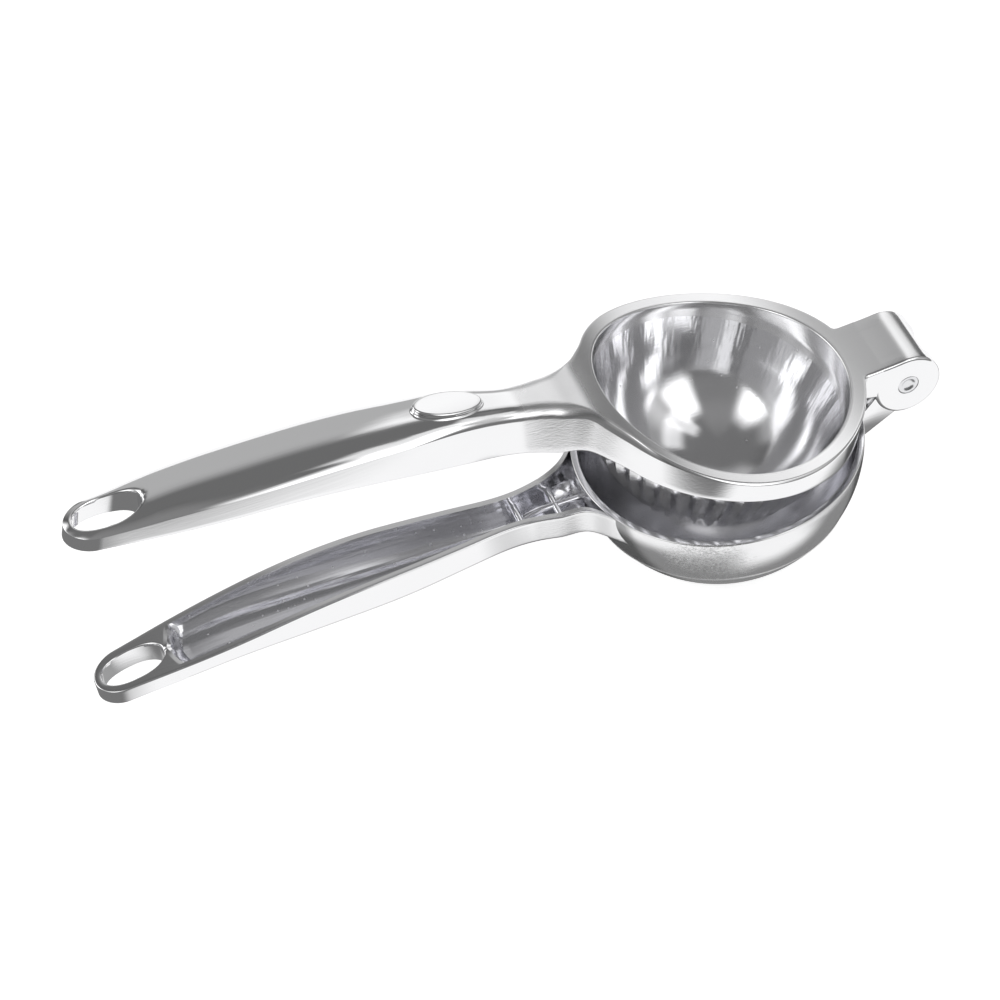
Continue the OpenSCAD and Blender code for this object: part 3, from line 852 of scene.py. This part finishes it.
def metal_skin(tree, colour, metal, rough, height, depth):
    """Finishes a metal: its colour, its share of bare metal, its roughness, and relief of depth
    millimetres from a height between 0 and 1."""
    relief = add_node(tree, "ShaderNodeBump", Height=height, Distance=depth * MM, Strength=1.0)
    skin = add_node(tree, "ShaderNodeBsdfPrincipled", Base_Color=tuple(colour), Metallic=metal,
                    Roughness=rough, Normal=relief)
    add_node(tree, "ShaderNodeOutputMaterial", Surface=skin)


def mirror_skin(tree, place, finishes, brushed, dull=None):
    """Mirror finish with the hairlines of a polishing mop. Its roughness is that of wiping, more
    by brushed where the neck is brushed, and more by dull. The brush marks are deeper."""
    brushing = neck_brushing(tree, place)
    rough = add_node(tree, "ShaderNodeMath", "MULTIPLY_ADD", _0=brushing, _1=brushed,
                     _2=wiping_marks(tree, place, finishes.polish, finishes.polish + 0.065))
    if dull is not None:
        rough = add_node(tree, "ShaderNodeMath", "ADD", _0=rough, _1=dull)
    brush = long_marks(tree, place, 9, 0.35, (0, 0, 0.25))
    deep = add_node(tree, "ShaderNodeMath", "MULTIPLY", _0=brush, _1=brushing)
    relief = add_node(tree, "ShaderNodeMath", "MULTIPLY_ADD", _0=deep, _1=5.0,
                      _2=long_marks(tree, place, 22, 0.5))
    metal_skin(tree, finishes.plate, 1.0, rough, relief, 0.006)


def polished_plate(finishes):
    """Chrome plate on polished die-cast zinc: a neutral mirror. The polishing mop leaves hairlines
    along the handles, wiping dulls it in patches, and the neck is brushed."""
    made, tree, place = new_material("chrome_plated_zinc")
    mirror_skin(tree, place, finishes, 0.16)
    return made


def satin_topped_plate(finishes):
    """The same plate, but brushed a little dull where it looks up from the ring on, because a
    hand polishes the handle and not the ring. The eye gets a soft grey rim between bright walls."""
    made, tree, place = new_material("satin_topped_chrome_plate")
    up = add_node(tree, "ShaderNodeSeparateXYZ",
                  Vector=add_node(tree, "ShaderNodeNewGeometry").outputs["Normal"])
    flat = add_node(tree, "ShaderNodeMapRange", SMOOTH, Value=up.outputs["Z"], From_Min=0.8,
                    From_Max=0.93)
    axes = add_node(tree, "ShaderNodeSeparateXYZ", Vector=place)
    ring = add_node(tree, "ShaderNodeMapRange", SMOOTH, Value=axes.outputs["X"],
                    From_Min=2 * MM, From_Max=16 * MM, To_Max=0.1)
    dull = add_node(tree, "ShaderNodeMath", "MULTIPLY", _0=flat, _1=ring)
    mirror_skin(tree, place, finishes, 0.18, dull)
    return made


def cup_plate(finishes):
    """Chrome plate over a cup that was smoothed with a turning brush: long soft waves run up its
    wall, fine scratches cross it, and pits of the casting show as bright specks."""
    made, tree, place = new_material("brushed_chrome_plated_cup")
    # Coordinates of the cup itself: its middle at the origin and its axis upright
    centred = add_node(tree, "ShaderNodeMapping", {"vector_type": "TEXTURE"}, Vector=place,
                       Location=tuple((DOME_AT + TO_FRAME) * MM), Rotation=(0, OPEN_ANGLE, 0))
    flat = add_node(tree, "ShaderNodeVectorMath", "MULTIPLY", _0=centred, _1=(1, 1, 0))
    way = add_node(tree, "ShaderNodeVectorMath", "NORMALIZE", _0=flat)
    level = add_node(tree, "ShaderNodeVectorMath", "MULTIPLY", _0=centred, _1=(0, 0, 8))
    around = add_node(tree, "ShaderNodeVectorMath", "ADD", _0=way, _1=level)
    # On the unit circle 1 is the cup's radius of 30 mm, so these waves are 3 mm wide.
    waves = add_node(tree, "ShaderNodeTexNoise", Vector=around, Scale=10.0, Detail=2.0)
    high = add_node(tree, "ShaderNodeSeparateXYZ", Vector=centred)
    wall = add_node(tree, "ShaderNodeMapRange", SMOOTH, Value=high.outputs["Z"],
                    From_Min=-20 * MM, From_Max=-2 * MM)
    waves = add_node(tree, "ShaderNodeMath", "MULTIPLY", _0=waves, _1=wall)
    fine = add_node(tree, "ShaderNodeMath", "MULTIPLY_ADD", _1=0.06, _2=waves,
                    _0=long_marks(tree, place, 16, 0.4, (0.3, 0.5, 1.1)))
    # Pits of 0.1 mm are drawn 0.3 mm wide, so that they show.
    pits = specks(tree, place, 2.4, 0.26, 0.3)
    rough = add_node(tree, "ShaderNodeMath", "MULTIPLY_ADD", _0=pits, _1=0.6,
                     _2=wiping_marks(tree, place, finishes.cup_satin, finishes.cup_satin + 0.04))
    metal = add_node(tree, "ShaderNodeMapRange", Value=pits, To_Min=0.93, To_Max=0.1)
    metal_skin(tree, finishes.cup, metal, rough, fine, 0.13)
    return made


def tumbled_plate(finishes):
    """Chrome plate where no polishing wheel reaches, inside the bowl: smooth and
    satin from tumbling, so that it looks grey beside the polished walls."""
    made, tree, place = new_material("tumbled_chrome_plate")
    grain = add_node(tree, "ShaderNodeTexNoise", Vector=place, Scale=1 / (4 * MM), Detail=3.0)
    rough = wiping_marks(tree, place, finishes.cast_satin - 0.05, finishes.cast_satin + 0.01)
    metal_skin(tree, finishes.cast, 0.82, rough, grain, 0.02)
    return made


def fluted_plate(finishes):
    """Chrome plate on the fluted dome: tumbled, and then buffed a little by every lemon. The eye
    gets a bright edge and a dark valley on each flute, without a mirror's hard pictures."""
    made, tree, place = new_material("buffed_chrome_plated_flutes")
    rough = wiping_marks(tree, place, finishes.cast_satin - 0.08, finishes.cast_satin - 0.03)
    metal_skin(tree, finishes.plate, 0.78, rough, long_marks(tree, place, 8, 0.6), 0.01)
    return made


def scuffed_plate(finishes):
    """Chrome plate that has knocked about in a drawer: polished, with criss-cross scratches and
    a dull patch on the bulge toward the front, and the mould's parting line rubbed dull."""
    made, tree, place = new_material("scuffed_chrome_plate")
    gap = add_node(tree, "ShaderNodeVectorMath", "DISTANCE", _0=place, _1=SCUFF_AT)
    patch = add_node(tree, "ShaderNodeMapRange", SMOOTH, Value=gap, From_Min=14 * MM,
                     From_Max=4 * MM, To_Min=0.1)
    # The scratches are 0.05 mm wide and are drawn eight times as wide, so that they show.
    lines = 0.0
    for turn in (0.5, -0.7, 1.5, -0.1):
        marks = add_node(tree, "ShaderNodeMapRange", From_Min=0.56, From_Max=0.68,
                         Value=long_marks(tree, place, 7, 0.4, (0, turn, 0)))
        lines = add_node(tree, "ShaderNodeMath", "ADD", _0=marks, _1=lines)
    scratch = add_node(tree, "ShaderNodeMath", "MULTIPLY", _0=lines, _1=patch)
    axes = add_node(tree, "ShaderNodeSeparateXYZ", Vector=place)
    parting = add_node(tree, "ShaderNodeMath", "SUBTRACT", _0=axes.outputs["Z"], _1=PARTING_Z)
    parting = add_node(tree, "ShaderNodeMath", "ABSOLUTE", _0=parting)
    parting = add_node(tree, "ShaderNodeMapRange", Value=parting, From_Min=0.45 * MM,
                       From_Max=0.2 * MM)
    rough = add_node(tree, "ShaderNodeMath", "MULTIPLY_ADD", _0=patch, _1=0.06,
                     _2=wiping_marks(tree, place, finishes.polish + 0.05, finishes.polish + 0.1))
    rough = add_node(tree, "ShaderNodeMath", "MULTIPLY_ADD", _0=scratch, _1=0.25, _2=rough)
    rough = add_node(tree, "ShaderNodeMath", "MULTIPLY_ADD", _0=parting, _1=0.3, _2=rough)
    metal = add_node(tree, "ShaderNodeMapRange", Value=parting, To_Min=0.95, To_Max=0.3)
    metal_skin(tree, finishes.plate, metal, rough, scratch, 0.022)
    return made


def cast_plate(finishes):
    """Chrome plate over zinc as it left the mould: satin, with lengthwise drag lines of the
    mould's own polishing, and pits that the plate has filled to bright specks."""
    made, tree, place = new_material("as_cast_chrome_plate")
    drag = long_marks(tree, place, 90, 1.5)
    pits = specks(tree, place, 2.2, 0.32, 0.55)
    height = add_node(tree, "ShaderNodeMath", "MULTIPLY_ADD", _1=0.06, _2=drag,
                      _0=long_marks(tree, place, 25, 0.4))
    rough = add_node(tree, "ShaderNodeMath", "MULTIPLY_ADD", _0=pits, _1=0.5,
                     _2=wiping_marks(tree, place, finishes.cast_satin - 0.09,
                                     finishes.cast_satin - 0.04))
    metal = add_node(tree, "ShaderNodeMapRange", Value=pits, To_Min=0.93, To_Max=0.1)
    metal_skin(tree, finishes.cast, metal, rough, height, 0.09)
    return made


def turned_steel(finishes):
    """Bright steel pin: its riveted ends keep fine turning rings 0.25 mm apart."""
    made, tree, place = new_material("turned_bright_steel")
    centred = add_node(tree, "ShaderNodeMapping", {"vector_type": "TEXTURE"}, Vector=place,
                       Location=tuple(HINGE["pos_m"]))
    flat = add_node(tree, "ShaderNodeVectorMath", "MULTIPLY", _0=centred, _1=(1, 0, 1))
    out = add_node(tree, "ShaderNodeVectorMath", "LENGTH", _0=flat)
    rings = add_node(tree, "ShaderNodeTexNoise", {"noise_dimensions": "1D"}, W=out,
                     Scale=1 / (0.25 * MM), Detail=1.0)
    metal_skin(tree, finishes.steel, 1.0, wiping_marks(tree, place, 0.14, 0.22), rings, 0.01)
    return made


def finish(context, build):
    """The material that a finish function makes, made only once."""
    made = FINISHED.get(build.__name__)
    if made is None:
        made = FINISHED[build.__name__] = build(context.scene.squeezer_finishes)
    return made


def face_middles(mesh):
    """Middles and directions of a mesh's faces, the middles in the castings' millimetres."""
    middle, out = (np.empty(len(mesh.polygons) * 3) for _ in range(2))
    mesh.polygons.foreach_get("center", middle)
    mesh.polygons.foreach_get("normal", out)
    return middle.reshape(-1, 3) / MM - TO_FRAME, out.reshape(-1, 3)


def inner_faces(made, material, centre, radius):
    """Gives a second finish to the faces of a shell that lie within a radius of its centre."""
    made.data.materials.append(material)
    far = np.linalg.norm(face_middles(made.data)[0] - centre, axis=1)
    made.data.polygons.foreach_set("material_index", (far < radius).astype(np.int32))


def cast_faces(made, material, press):
    """Gives a second finish to the faces inside a handle's hollow: those that look to its open
    side, lie deeper than 0.5 mm behind the seam and more than 1.5 mm in from the wall."""
    made.data.materials.append(material)
    middle, out = face_middles(made.data)
    side = -1 if press else 1
    x, y, z = (swing(middle, -OPEN_ANGLE) if press else middle).T
    deep = side * (seam(x) - z) > 0.5
    inside = (np.abs(y) < handle_width(x) - 1.5) & (x < LAST_X) & (x > EYE_X + 9)
    hollow = deep & inside & (side * out[:, 2] > -0.2)
    made.data.polygons.foreach_set("material_index", hollow.astype(np.int32))


# ---- Stage ----

# Azimuth and elevation of the centre, half width, half height and edge in degrees, and the level
SOFT_BOXES = (
    (74, 20, 28, 34, 10, 0.352),     # behind: the handle's back and the tongue
    (51, 36, 13, 18, 5, 0.624),      # behind, to the right: the neck and the ring
    (-44, 54, 13, 15, 4, 0.72),      # overhead in front: the bright streak
    (-17, 48, 17, 9, 5, 0.68),       # its lower right end
    (-48, 28, 26, 20, 12, 0.336),    # in front, to the right
    (-66, 38, 16, 18, 7, 1.36),      # in front: a bright patch in the cup
    (-8, 22, 34, 22, 8, 0.2),        # right
    (-164, 44, 18, 16, 12, 1.76),    # left: the other bright patch in the cup
    (176, 26, 36, 26, 8, 0.272),     # left, wide and dim
    (140, 25, 22, 14, 6, 1.44),      # behind, to the left
    (0, 72, 200, 22, 10, 0.04),      # overhead, all round
    (-112, 50, 34, 30, 14, 0.08),    # the dim side, where the camera stands
)
ROOM_LEVEL = 0.12
# Where the bowl stands, along X: the middle of the floor's painted shadow around its foot
FOOT_X = 56


def softbox(tree, direction, height, azimuth, elevation, wide, high, soft, level):
    """Light of one soft box on the sky: full within its half width and half height, and gone
    beyond them by its soft edge. The angle across it is the arc tangent of the direction's
    parts across and along its azimuth."""
    a = math.radians(azimuth)
    across = add_node(tree, "ShaderNodeMath", "ARCTAN2", **{
        socket: add_node(tree, "ShaderNodeVectorMath", "DOT_PRODUCT", _0=direction, _1=axis)
        for socket, axis in (("_0", (-math.sin(a), math.cos(a), 0)),
                             ("_1", (math.cos(a), math.sin(a), 0)))})
    up = add_node(tree, "ShaderNodeMath", "SUBTRACT", _0=height, _1=math.radians(elevation))
    total = level
    for part, half in ((across, wide), (up, high)):
        away = add_node(tree, "ShaderNodeMath", "ABSOLUTE", _0=part)
        share = add_node(tree, "ShaderNodeMapRange", SMOOTH, Value=away,
                         From_Min=math.radians(half + soft), From_Max=math.radians(half - soft))
        total = add_node(tree, "ShaderNodeMath", "MULTIPLY", _0=share, _1=total)
    return total


def studio_world():
    """Dark room with soft boxes around the squeezer. Camera rays see plain white instead."""
    world = bpy.data.worlds.new("soft_studio")
    bpy.context.scene.world = world
    world.use_nodes = True
    tree = world.node_tree
    tree.nodes.clear()
    direction = add_node(tree, "ShaderNodeTexCoord").outputs["Generated"]
    axes = add_node(tree, "ShaderNodeSeparateXYZ", Vector=direction)
    height = add_node(tree, "ShaderNodeMath", "ARCSINE", _0=axes.outputs["Z"])
    room = ROOM_LEVEL
    for box in SOFT_BOXES:
        room = add_node(tree, "ShaderNodeMath", "ADD", _0=room,
                        _1=softbox(tree, direction, height, *box))
    path = add_node(tree, "ShaderNodeLightPath").outputs["Is Camera Ray"]
    shown = add_node(tree, "ShaderNodeMix", {"data_type": "FLOAT"}, Factor=path, A=room, B=1.0)
    back = add_node(tree, "ShaderNodeBackground", Color=(1, 1, 1, 1),
                    Strength=shown.outputs["Result"])
    add_node(tree, "ShaderNodeOutputWorld", Surface=back)


# Where the paper's painted light and painted shade lie, as the plating sees them: start and end of
# each fade in millimetres
PAINTED_LIGHT_PATCH = (("X", 34, 48), ("X", 100, 74), ("Y", -32, -47))
PAINTED_DIM_LEFT, PAINTED_DIM_FRONT, PAINTED_SHADOW_UNDER_HANDLES = (-94, -112), (-66, -104), (17, 9)
# Painted brightness of the paper as the plating sees it, in the painted light and past its edges,
# which share of that
#  the painted shadow around the bowl's foot leaves, and how much it glows for the camera
PAINTED_LIGHT_LEVEL, PAINTED_DIM_LEVEL, PAINTED_FOOT_SHADOW_LEVEL, GLOW = 1.07, 0.2, 0.24, 0.72


def floor_paper(colour):
    """White paper: matt, and plain white to the camera but for the squeezer's shadow. To the
     plating it is an emitting sheet with painted light and painted shadow: a painted shadow around
     the bowl's foot but for one painted bright patch in front of it, a painted shadow under the
     handles, white from 6 cm out, and painted dim again past its front edge, where the camera
     stands."""
    made, tree, place = new_material("paper_floor_with_painted_shade")
    axes = add_node(tree, "ShaderNodeSeparateXYZ", Vector=place)
    # Painted shadow around the bowl's foot: dim within 50 mm of its middle, gone from 62 mm out
    foot = add_node(tree, "ShaderNodeVectorMath", "DISTANCE", _0=place, _1=(FOOT_X * MM, 0, 0))
    out = add_node(tree, "ShaderNodeMapRange", SMOOTH, Value=foot, From_Min=50 * MM,
                   From_Max=62 * MM)
    # Painted bright patch in front of the bowl
    patch = 1.0
    for axis, start, end in PAINTED_LIGHT_PATCH:
        edge = add_node(tree, "ShaderNodeMapRange", SMOOTH, Value=axes.outputs[axis],
                        From_Min=start * MM, From_Max=end * MM)
        patch = add_node(tree, "ShaderNodeMath", "MULTIPLY", _0=patch, _1=edge)
    # Painted light and painted shadow: bright out past the foot or on the patch, dim around the
    # bowl's foot
    lit = add_node(tree, "ShaderNodeMath", "MAXIMUM", _0=out, _1=patch)
    lit = add_node(tree, "ShaderNodeMapRange", Value=lit, To_Min=PAINTED_FOOT_SHADOW_LEVEL)
    # The front edge of the painted light lies 35 mm further out beside the bowl than beside the
    # handles.
    shift = add_node(tree, "ShaderNodeMapRange", SMOOTH, Value=axes.outputs["X"],
                     From_Max=45 * MM, To_Max=35 * MM)
    ahead = add_node(tree, "ShaderNodeMath", "ADD", _0=axes.outputs["Y"], _1=shift)
    aside = add_node(tree, "ShaderNodeMath", "ABSOLUTE", _0=axes.outputs["Y"])
    # Painted dimming past the left and front edges, and painted shadow under the handles
    past = 0.0
    for way, (start, end), most in ((axes.outputs["X"], PAINTED_DIM_LEFT, 1.0), (ahead, PAINTED_DIM_FRONT, 1.0),
                                    (aside, PAINTED_SHADOW_UNDER_HANDLES, 0.8)):
        dim = add_node(tree, "ShaderNodeMapRange", SMOOTH, Value=way, From_Min=start * MM,
                       From_Max=end * MM, To_Max=most)
        past = add_node(tree, "ShaderNodeMath", "MAXIMUM", _0=past, _1=dim)
    past = add_node(tree, "ShaderNodeMapRange", Value=past, To_Min=PAINTED_LIGHT_LEVEL, To_Max=PAINTED_DIM_LEVEL)
    lit = add_node(tree, "ShaderNodeMath", "MULTIPLY", _0=lit, _1=past)
    matt = add_node(tree, "ShaderNodeBsdfDiffuse", Color=tuple(colour))
    glow = add_node(tree, "ShaderNodeEmission", Strength=GLOW)
    plain = add_node(tree, "ShaderNodeAddShader", _0=matt, _1=glow)
    # What the plating sees: an emission whose strength is this painted light and painted shadow
    sheet = add_node(tree, "ShaderNodeEmission", Strength=lit)
    path = add_node(tree, "ShaderNodeLightPath").outputs
    seen = add_node(tree, "ShaderNodeMixShader", _0=path["Is Camera Ray"], _1=matt, _2=plain)
    shown = add_node(tree, "ShaderNodeMixShader", _0=path["Is Glossy Ray"], _1=seen, _2=sheet)
    add_node(tree, "ShaderNodeOutputMaterial", Surface=shown)
    return made


def studio_floor(colour):
    """Sheet of paper under the squeezer, 4 m square."""
    sheet = bpy.data.meshes.new("floor")
    sheet.from_pydata([(-2, -2, 0), (2, -2, 0), (2, 2, 0), (-2, 2, 0)], [], [(0, 1, 2, 3)])
    sheet.materials.append(floor_paper(colour))
    floor = bpy.data.objects.new("floor", sheet)
    bpy.context.scene.collection.objects.link(floor)


def studio_camera():
    """Long lens 0.8 m away, that looks down on the squeezer from in front of its bowl."""
    azimuth, elevation, roll = (math.radians(a) for a in (-15.54, 46.77, -6.82))
    aim, distance = Vector((-1.24, 8.14, 29.5)) * MM, 0.8
    back = Vector((math.sin(azimuth) * math.cos(elevation),
                   -math.cos(azimuth) * math.cos(elevation), math.sin(elevation)))
    eye = bpy.data.cameras.new("camera")
    eye.lens, eye.sensor_width = 118.92, 36
    camera = bpy.data.objects.new("camera", eye)
    bpy.context.scene.collection.objects.link(camera)
    turn = (-back).to_track_quat("-Z", "Y").to_matrix() @ Matrix.Rotation(roll, 3, "Z")
    camera.matrix_world = Matrix.Translation(aim + back * distance) @ turn.to_4x4()
    bpy.context.scene.camera = camera


# ---- Add-on ----

class SqueezerSizes(bpy.types.PropertyGroup):
    """Sizes of the castings' details."""
    flutes: bpy.props.IntProperty(
        name="Flutes", description="Number of flutes around the press dome",
        default=40, min=24, max=48)
    flute_depth: bpy.props.FloatProperty(
        name="Flute depth", description="Depth of each flute where it is deepest",
        default=1.3 * MM, min=0.4 * MM, max=1.5 * MM, unit="LENGTH", precision=5)
    cup_lip: bpy.props.FloatProperty(
        name="Cup lip", description="Radius of the rounded lip of the press cup",
        default=0.45 * MM, min=0.2 * MM, max=0.7 * MM, unit="LENGTH", precision=5)
    bowl_rim: bpy.props.FloatProperty(
        name="Bowl rim", description="Radius of the rounded edges of the bowl's rim",
        default=0.35 * MM, min=0.2 * MM, max=0.4 * MM, unit="LENGTH", precision=5)
    parting_line: bpy.props.FloatProperty(
        name="Parting line", description="Height of the mould's parting line around the bowl",
        default=0.2 * MM, min=0, max=0.3 * MM, unit="LENGTH", precision=5)
    hole: bpy.props.FloatProperty(
        name="Juice hole", description="Diameter of each juice hole",
        default=3.6 * MM, min=2.4 * MM, max=4 * MM, unit="LENGTH", precision=5)
    pad_rise: bpy.props.FloatProperty(
        name="Pad rise", description="Height of the oval pad above the handle's back",
        default=0.85 * MM, min=0.4 * MM, max=0.85 * MM, unit="LENGTH", precision=5)
    eye_edge: bpy.props.FloatProperty(
        name="Eye edge", description="Radius of the rounded edge of the press handle's eye",
        default=0.75 * MM, min=0.2 * MM, max=0.8 * MM, unit="LENGTH", precision=5)
    ear_edge: bpy.props.FloatProperty(
        name="Ear edge", description="Radius of the rounded outer edge of the hinge's ears",
        default=0.8 * MM, min=0.3 * MM, max=1.2 * MM, unit="LENGTH", precision=5)
    rib: bpy.props.FloatProperty(
        name="Rib", description="Thickness of the ribs in the neck's pocket",
        default=1.8 * MM, min=1.2 * MM, max=2.6 * MM, unit="LENGTH", precision=5)


class SqueezerFinishes(bpy.types.PropertyGroup):
    """Colours and polish of the surfaces."""
    plate: bpy.props.FloatVectorProperty(
        name="Plate", description="Colour of the polished chrome plate",
        default=to_linear("#F0F0F1"), size=4, min=0, max=1, subtype="COLOR")
    cup: bpy.props.FloatVectorProperty(
        name="Cup", description="Colour of the brushed plate in the press cup",
        default=to_linear("#F2F2F4"), size=4, min=0, max=1, subtype="COLOR")
    cast: bpy.props.FloatVectorProperty(
        name="As cast", description="Colour of the plate on surfaces left as they were cast",
        default=to_linear("#E6E6EA"), size=4, min=0, max=1, subtype="COLOR")
    steel: bpy.props.FloatVectorProperty(
        name="Steel", description="Colour of the hinge pin",
        default=to_linear("#E2E2E4"), size=4, min=0, max=1, subtype="COLOR")
    paper: bpy.props.FloatVectorProperty(
        name="Paper", description="Colour of the floor",
        default=to_linear("#F4F4F4"), size=4, min=0, max=1, subtype="COLOR")
    polish: bpy.props.FloatProperty(
        name="Polish", description="Least roughness of the polished plate",
        default=0.055, min=0.02, max=0.4, subtype="FACTOR")
    cup_satin: bpy.props.FloatProperty(
        name="Cup satin", description="Least roughness of the brushed press cup",
        default=0.09, min=0.04, max=0.5, subtype="FACTOR")
    cast_satin: bpy.props.FloatProperty(
        name="Cast satin", description="Roughness of surfaces left as they were cast",
        default=0.2, min=0.07, max=0.6, subtype="FACTOR")


# Node that the pieces stand for, body that they ride on and slot of their finish
PRESS = ("press_arm", "upper", "press_casting")
BOWL = ("bowl_arm", "lower", "bowl_casting")


class SQUEEZER_OT_press_frame(bpy.types.Operator):
    """Build the press arm's handle, ring and tongue, hollow below"""
    bl_idname = "squeezer.press_frame"
    bl_label = "Press frame"

    def execute(self, context):
        made = add_piece("press_frame", *press_frame_points(context.scene.squeezer_sizes), *PRESS,
                         finish(context, satin_topped_plate), sharp=30)
        cast_faces(made, finish(context, cast_plate), press=True)
        return {"FINISHED"}


class SQUEEZER_OT_oval_pad(bpy.types.Operator):
    """Build the oval pad on the neck of the press arm"""
    bl_idname = "squeezer.oval_pad"
    bl_label = "Oval pad"

    def execute(self, context):
        add_piece("oval_pad", *oval_pad_points(context.scene.squeezer_sizes), *PRESS,
                  finish(context, polished_plate))
        return {"FINISHED"}


class SQUEEZER_OT_press_cup(bpy.types.Operator):
    """Build the press cup: brushed inside, fluted outside"""
    bl_idname = "squeezer.press_cup"
    bl_label = "Press cup"

    def execute(self, context):
        made = add_piece("press_cup", *press_cup_points(context.scene.squeezer_sizes), *PRESS,
                         finish(context, fluted_plate))
        inner_faces(made, finish(context, cup_plate), DOME_AT, 30.2)
        return {"FINISHED"}


class SQUEEZER_OT_hinge_ears(bpy.types.Operator):
    """Build the two ears of the press arm, one on each side of the lug"""
    bl_idname = "squeezer.hinge_ears"
    bl_label = "Hinge ears"

    def execute(self, context):
        edge = context.scene.squeezer_sizes.ear_edge / MM
        for side, name in ((-1, "near_ear"), (1, "far_ear")):
            add_piece(name, *ear_points(side, edge), *PRESS, finish(context, satin_topped_plate),
                      sharp=30)
        return {"FINISHED"}


class SQUEEZER_OT_hinge_cap(bpy.types.Operator):
    """Build the middle of the tongue with its cap over the lug"""
    bl_idname = "squeezer.hinge_cap"
    bl_label = "Hinge cap"

    def execute(self, context):
        add_piece("hinge_cap", *hinge_cap_points(), *PRESS, finish(context, satin_topped_plate),
                  sharp=30)
        return {"FINISHED"}


class SQUEEZER_OT_bowl_shell(bpy.types.Operator):
    """Build the juice bowl and drill its holes"""
    bl_idname = "squeezer.bowl_shell"
    bl_label = "Juice bowl"

    def execute(self, context):
        sizes = context.scene.squeezer_sizes
        made = add_piece("bowl_shell", *bowl_shell_points(sizes), *BOWL,
                         finish(context, scuffed_plate))
        pierce(made, sizes.hole / MM)
        inner_faces(made, finish(context, tumbled_plate), (0, 0, 0), 35.25)
        return {"FINISHED"}


class SQUEEZER_OT_neck_ribs(bpy.types.Operator):
    """Build the three ribs in the pocket of the bowl arm's neck"""
    bl_idname = "squeezer.neck_ribs"
    bl_label = "Neck ribs"

    def execute(self, context):
        add_piece("neck_ribs", *neck_rib_points(context.scene.squeezer_sizes.rib / MM), *BOWL,
                  finish(context, cast_plate))
        return {"FINISHED"}


class SQUEEZER_OT_bowl_handle(bpy.types.Operator):
    """Build the bowl arm's handle, an open channel above"""
    bl_idname = "squeezer.bowl_handle"
    bl_label = "Bowl handle"

    def execute(self, context):
        made = add_piece("bowl_handle", *bowl_handle_points(), *BOWL,
                         finish(context, polished_plate), sharp=30)
        cast_faces(made, finish(context, cast_plate), press=False)
        return {"FINISHED"}


class SQUEEZER_OT_hinge_lug(bpy.types.Operator):
    """Build the bowl arm's lug: its arm and the knuckle around the pin"""
    bl_idname = "squeezer.hinge_lug"
    bl_label = "Hinge lug"

    def execute(self, context):
        plate = finish(context, polished_plate)
        add_piece("lug_arm", *lug_points(), *BOWL, plate, sharp=30)
        add_piece("lug_knuckle", *knuckle_points(), *BOWL, plate)
        return {"FINISHED"}


class SQUEEZER_OT_hinge_pin(bpy.types.Operator):
    """Build the hinge pin with its two dished ends"""
    bl_idname = "squeezer.hinge_pin"
    bl_label = "Hinge pin"

    def execute(self, context):
        add_piece("pin", *pin_points(), "hinge_pin", "upper", "pin_steel",
                  finish(context, turned_steel))
        return {"FINISHED"}


class SQUEEZER_OT_stage(bpy.types.Operator):
    """Lay the paper, set the soft boxes around it and place the camera"""
    bl_idname = "squeezer.stage"
    bl_label = "Studio"

    def execute(self, context):
        studio_floor(context.scene.squeezer_finishes.paper)
        studio_world()
        studio_camera()
        context.scene.view_settings.view_transform = "Standard"
        return {"FINISHED"}


STEPS = (SQUEEZER_OT_press_frame, SQUEEZER_OT_oval_pad, SQUEEZER_OT_press_cup,
         SQUEEZER_OT_hinge_ears, SQUEEZER_OT_hinge_cap, SQUEEZER_OT_bowl_shell,
         SQUEEZER_OT_neck_ribs, SQUEEZER_OT_bowl_handle, SQUEEZER_OT_hinge_lug,
         SQUEEZER_OT_hinge_pin, SQUEEZER_OT_stage)


class SQUEEZER_PT_build(bpy.types.Panel):
    """Sizes, finishes and building steps of the squeezer"""
    bl_idname = "SQUEEZER_PT_build"
    bl_label = "Lemon squeezer"
    bl_space_type = "VIEW_3D"
    bl_region_type = "UI"
    bl_category = "Squeezer"

    def draw(self, context):
        for group in (context.scene.squeezer_sizes, context.scene.squeezer_finishes):
            box = self.layout.box()
            for name in group.__annotations__:
                box.prop(group, name)
        for step in STEPS:
            self.layout.operator(step.bl_idname)


CLASSES = (SqueezerSizes, SqueezerFinishes, *STEPS, SQUEEZER_PT_build)


def register():
    for kind in CLASSES:
        bpy.utils.register_class(kind)
    bpy.types.Scene.squeezer_sizes = bpy.props.PointerProperty(type=SqueezerSizes)
    bpy.types.Scene.squeezer_finishes = bpy.props.PointerProperty(type=SqueezerFinishes)


def unregister():
    del bpy.types.Scene.squeezer_finishes
    del bpy.types.Scene.squeezer_sizes
    for kind in reversed(CLASSES):
        bpy.utils.unregister_class(kind)


def main():
    register()
    for step in STEPS:
        group, name = step.bl_idname.split(".")
        getattr(getattr(bpy.ops, group), name)()


if __name__ == "__main__":
    main()
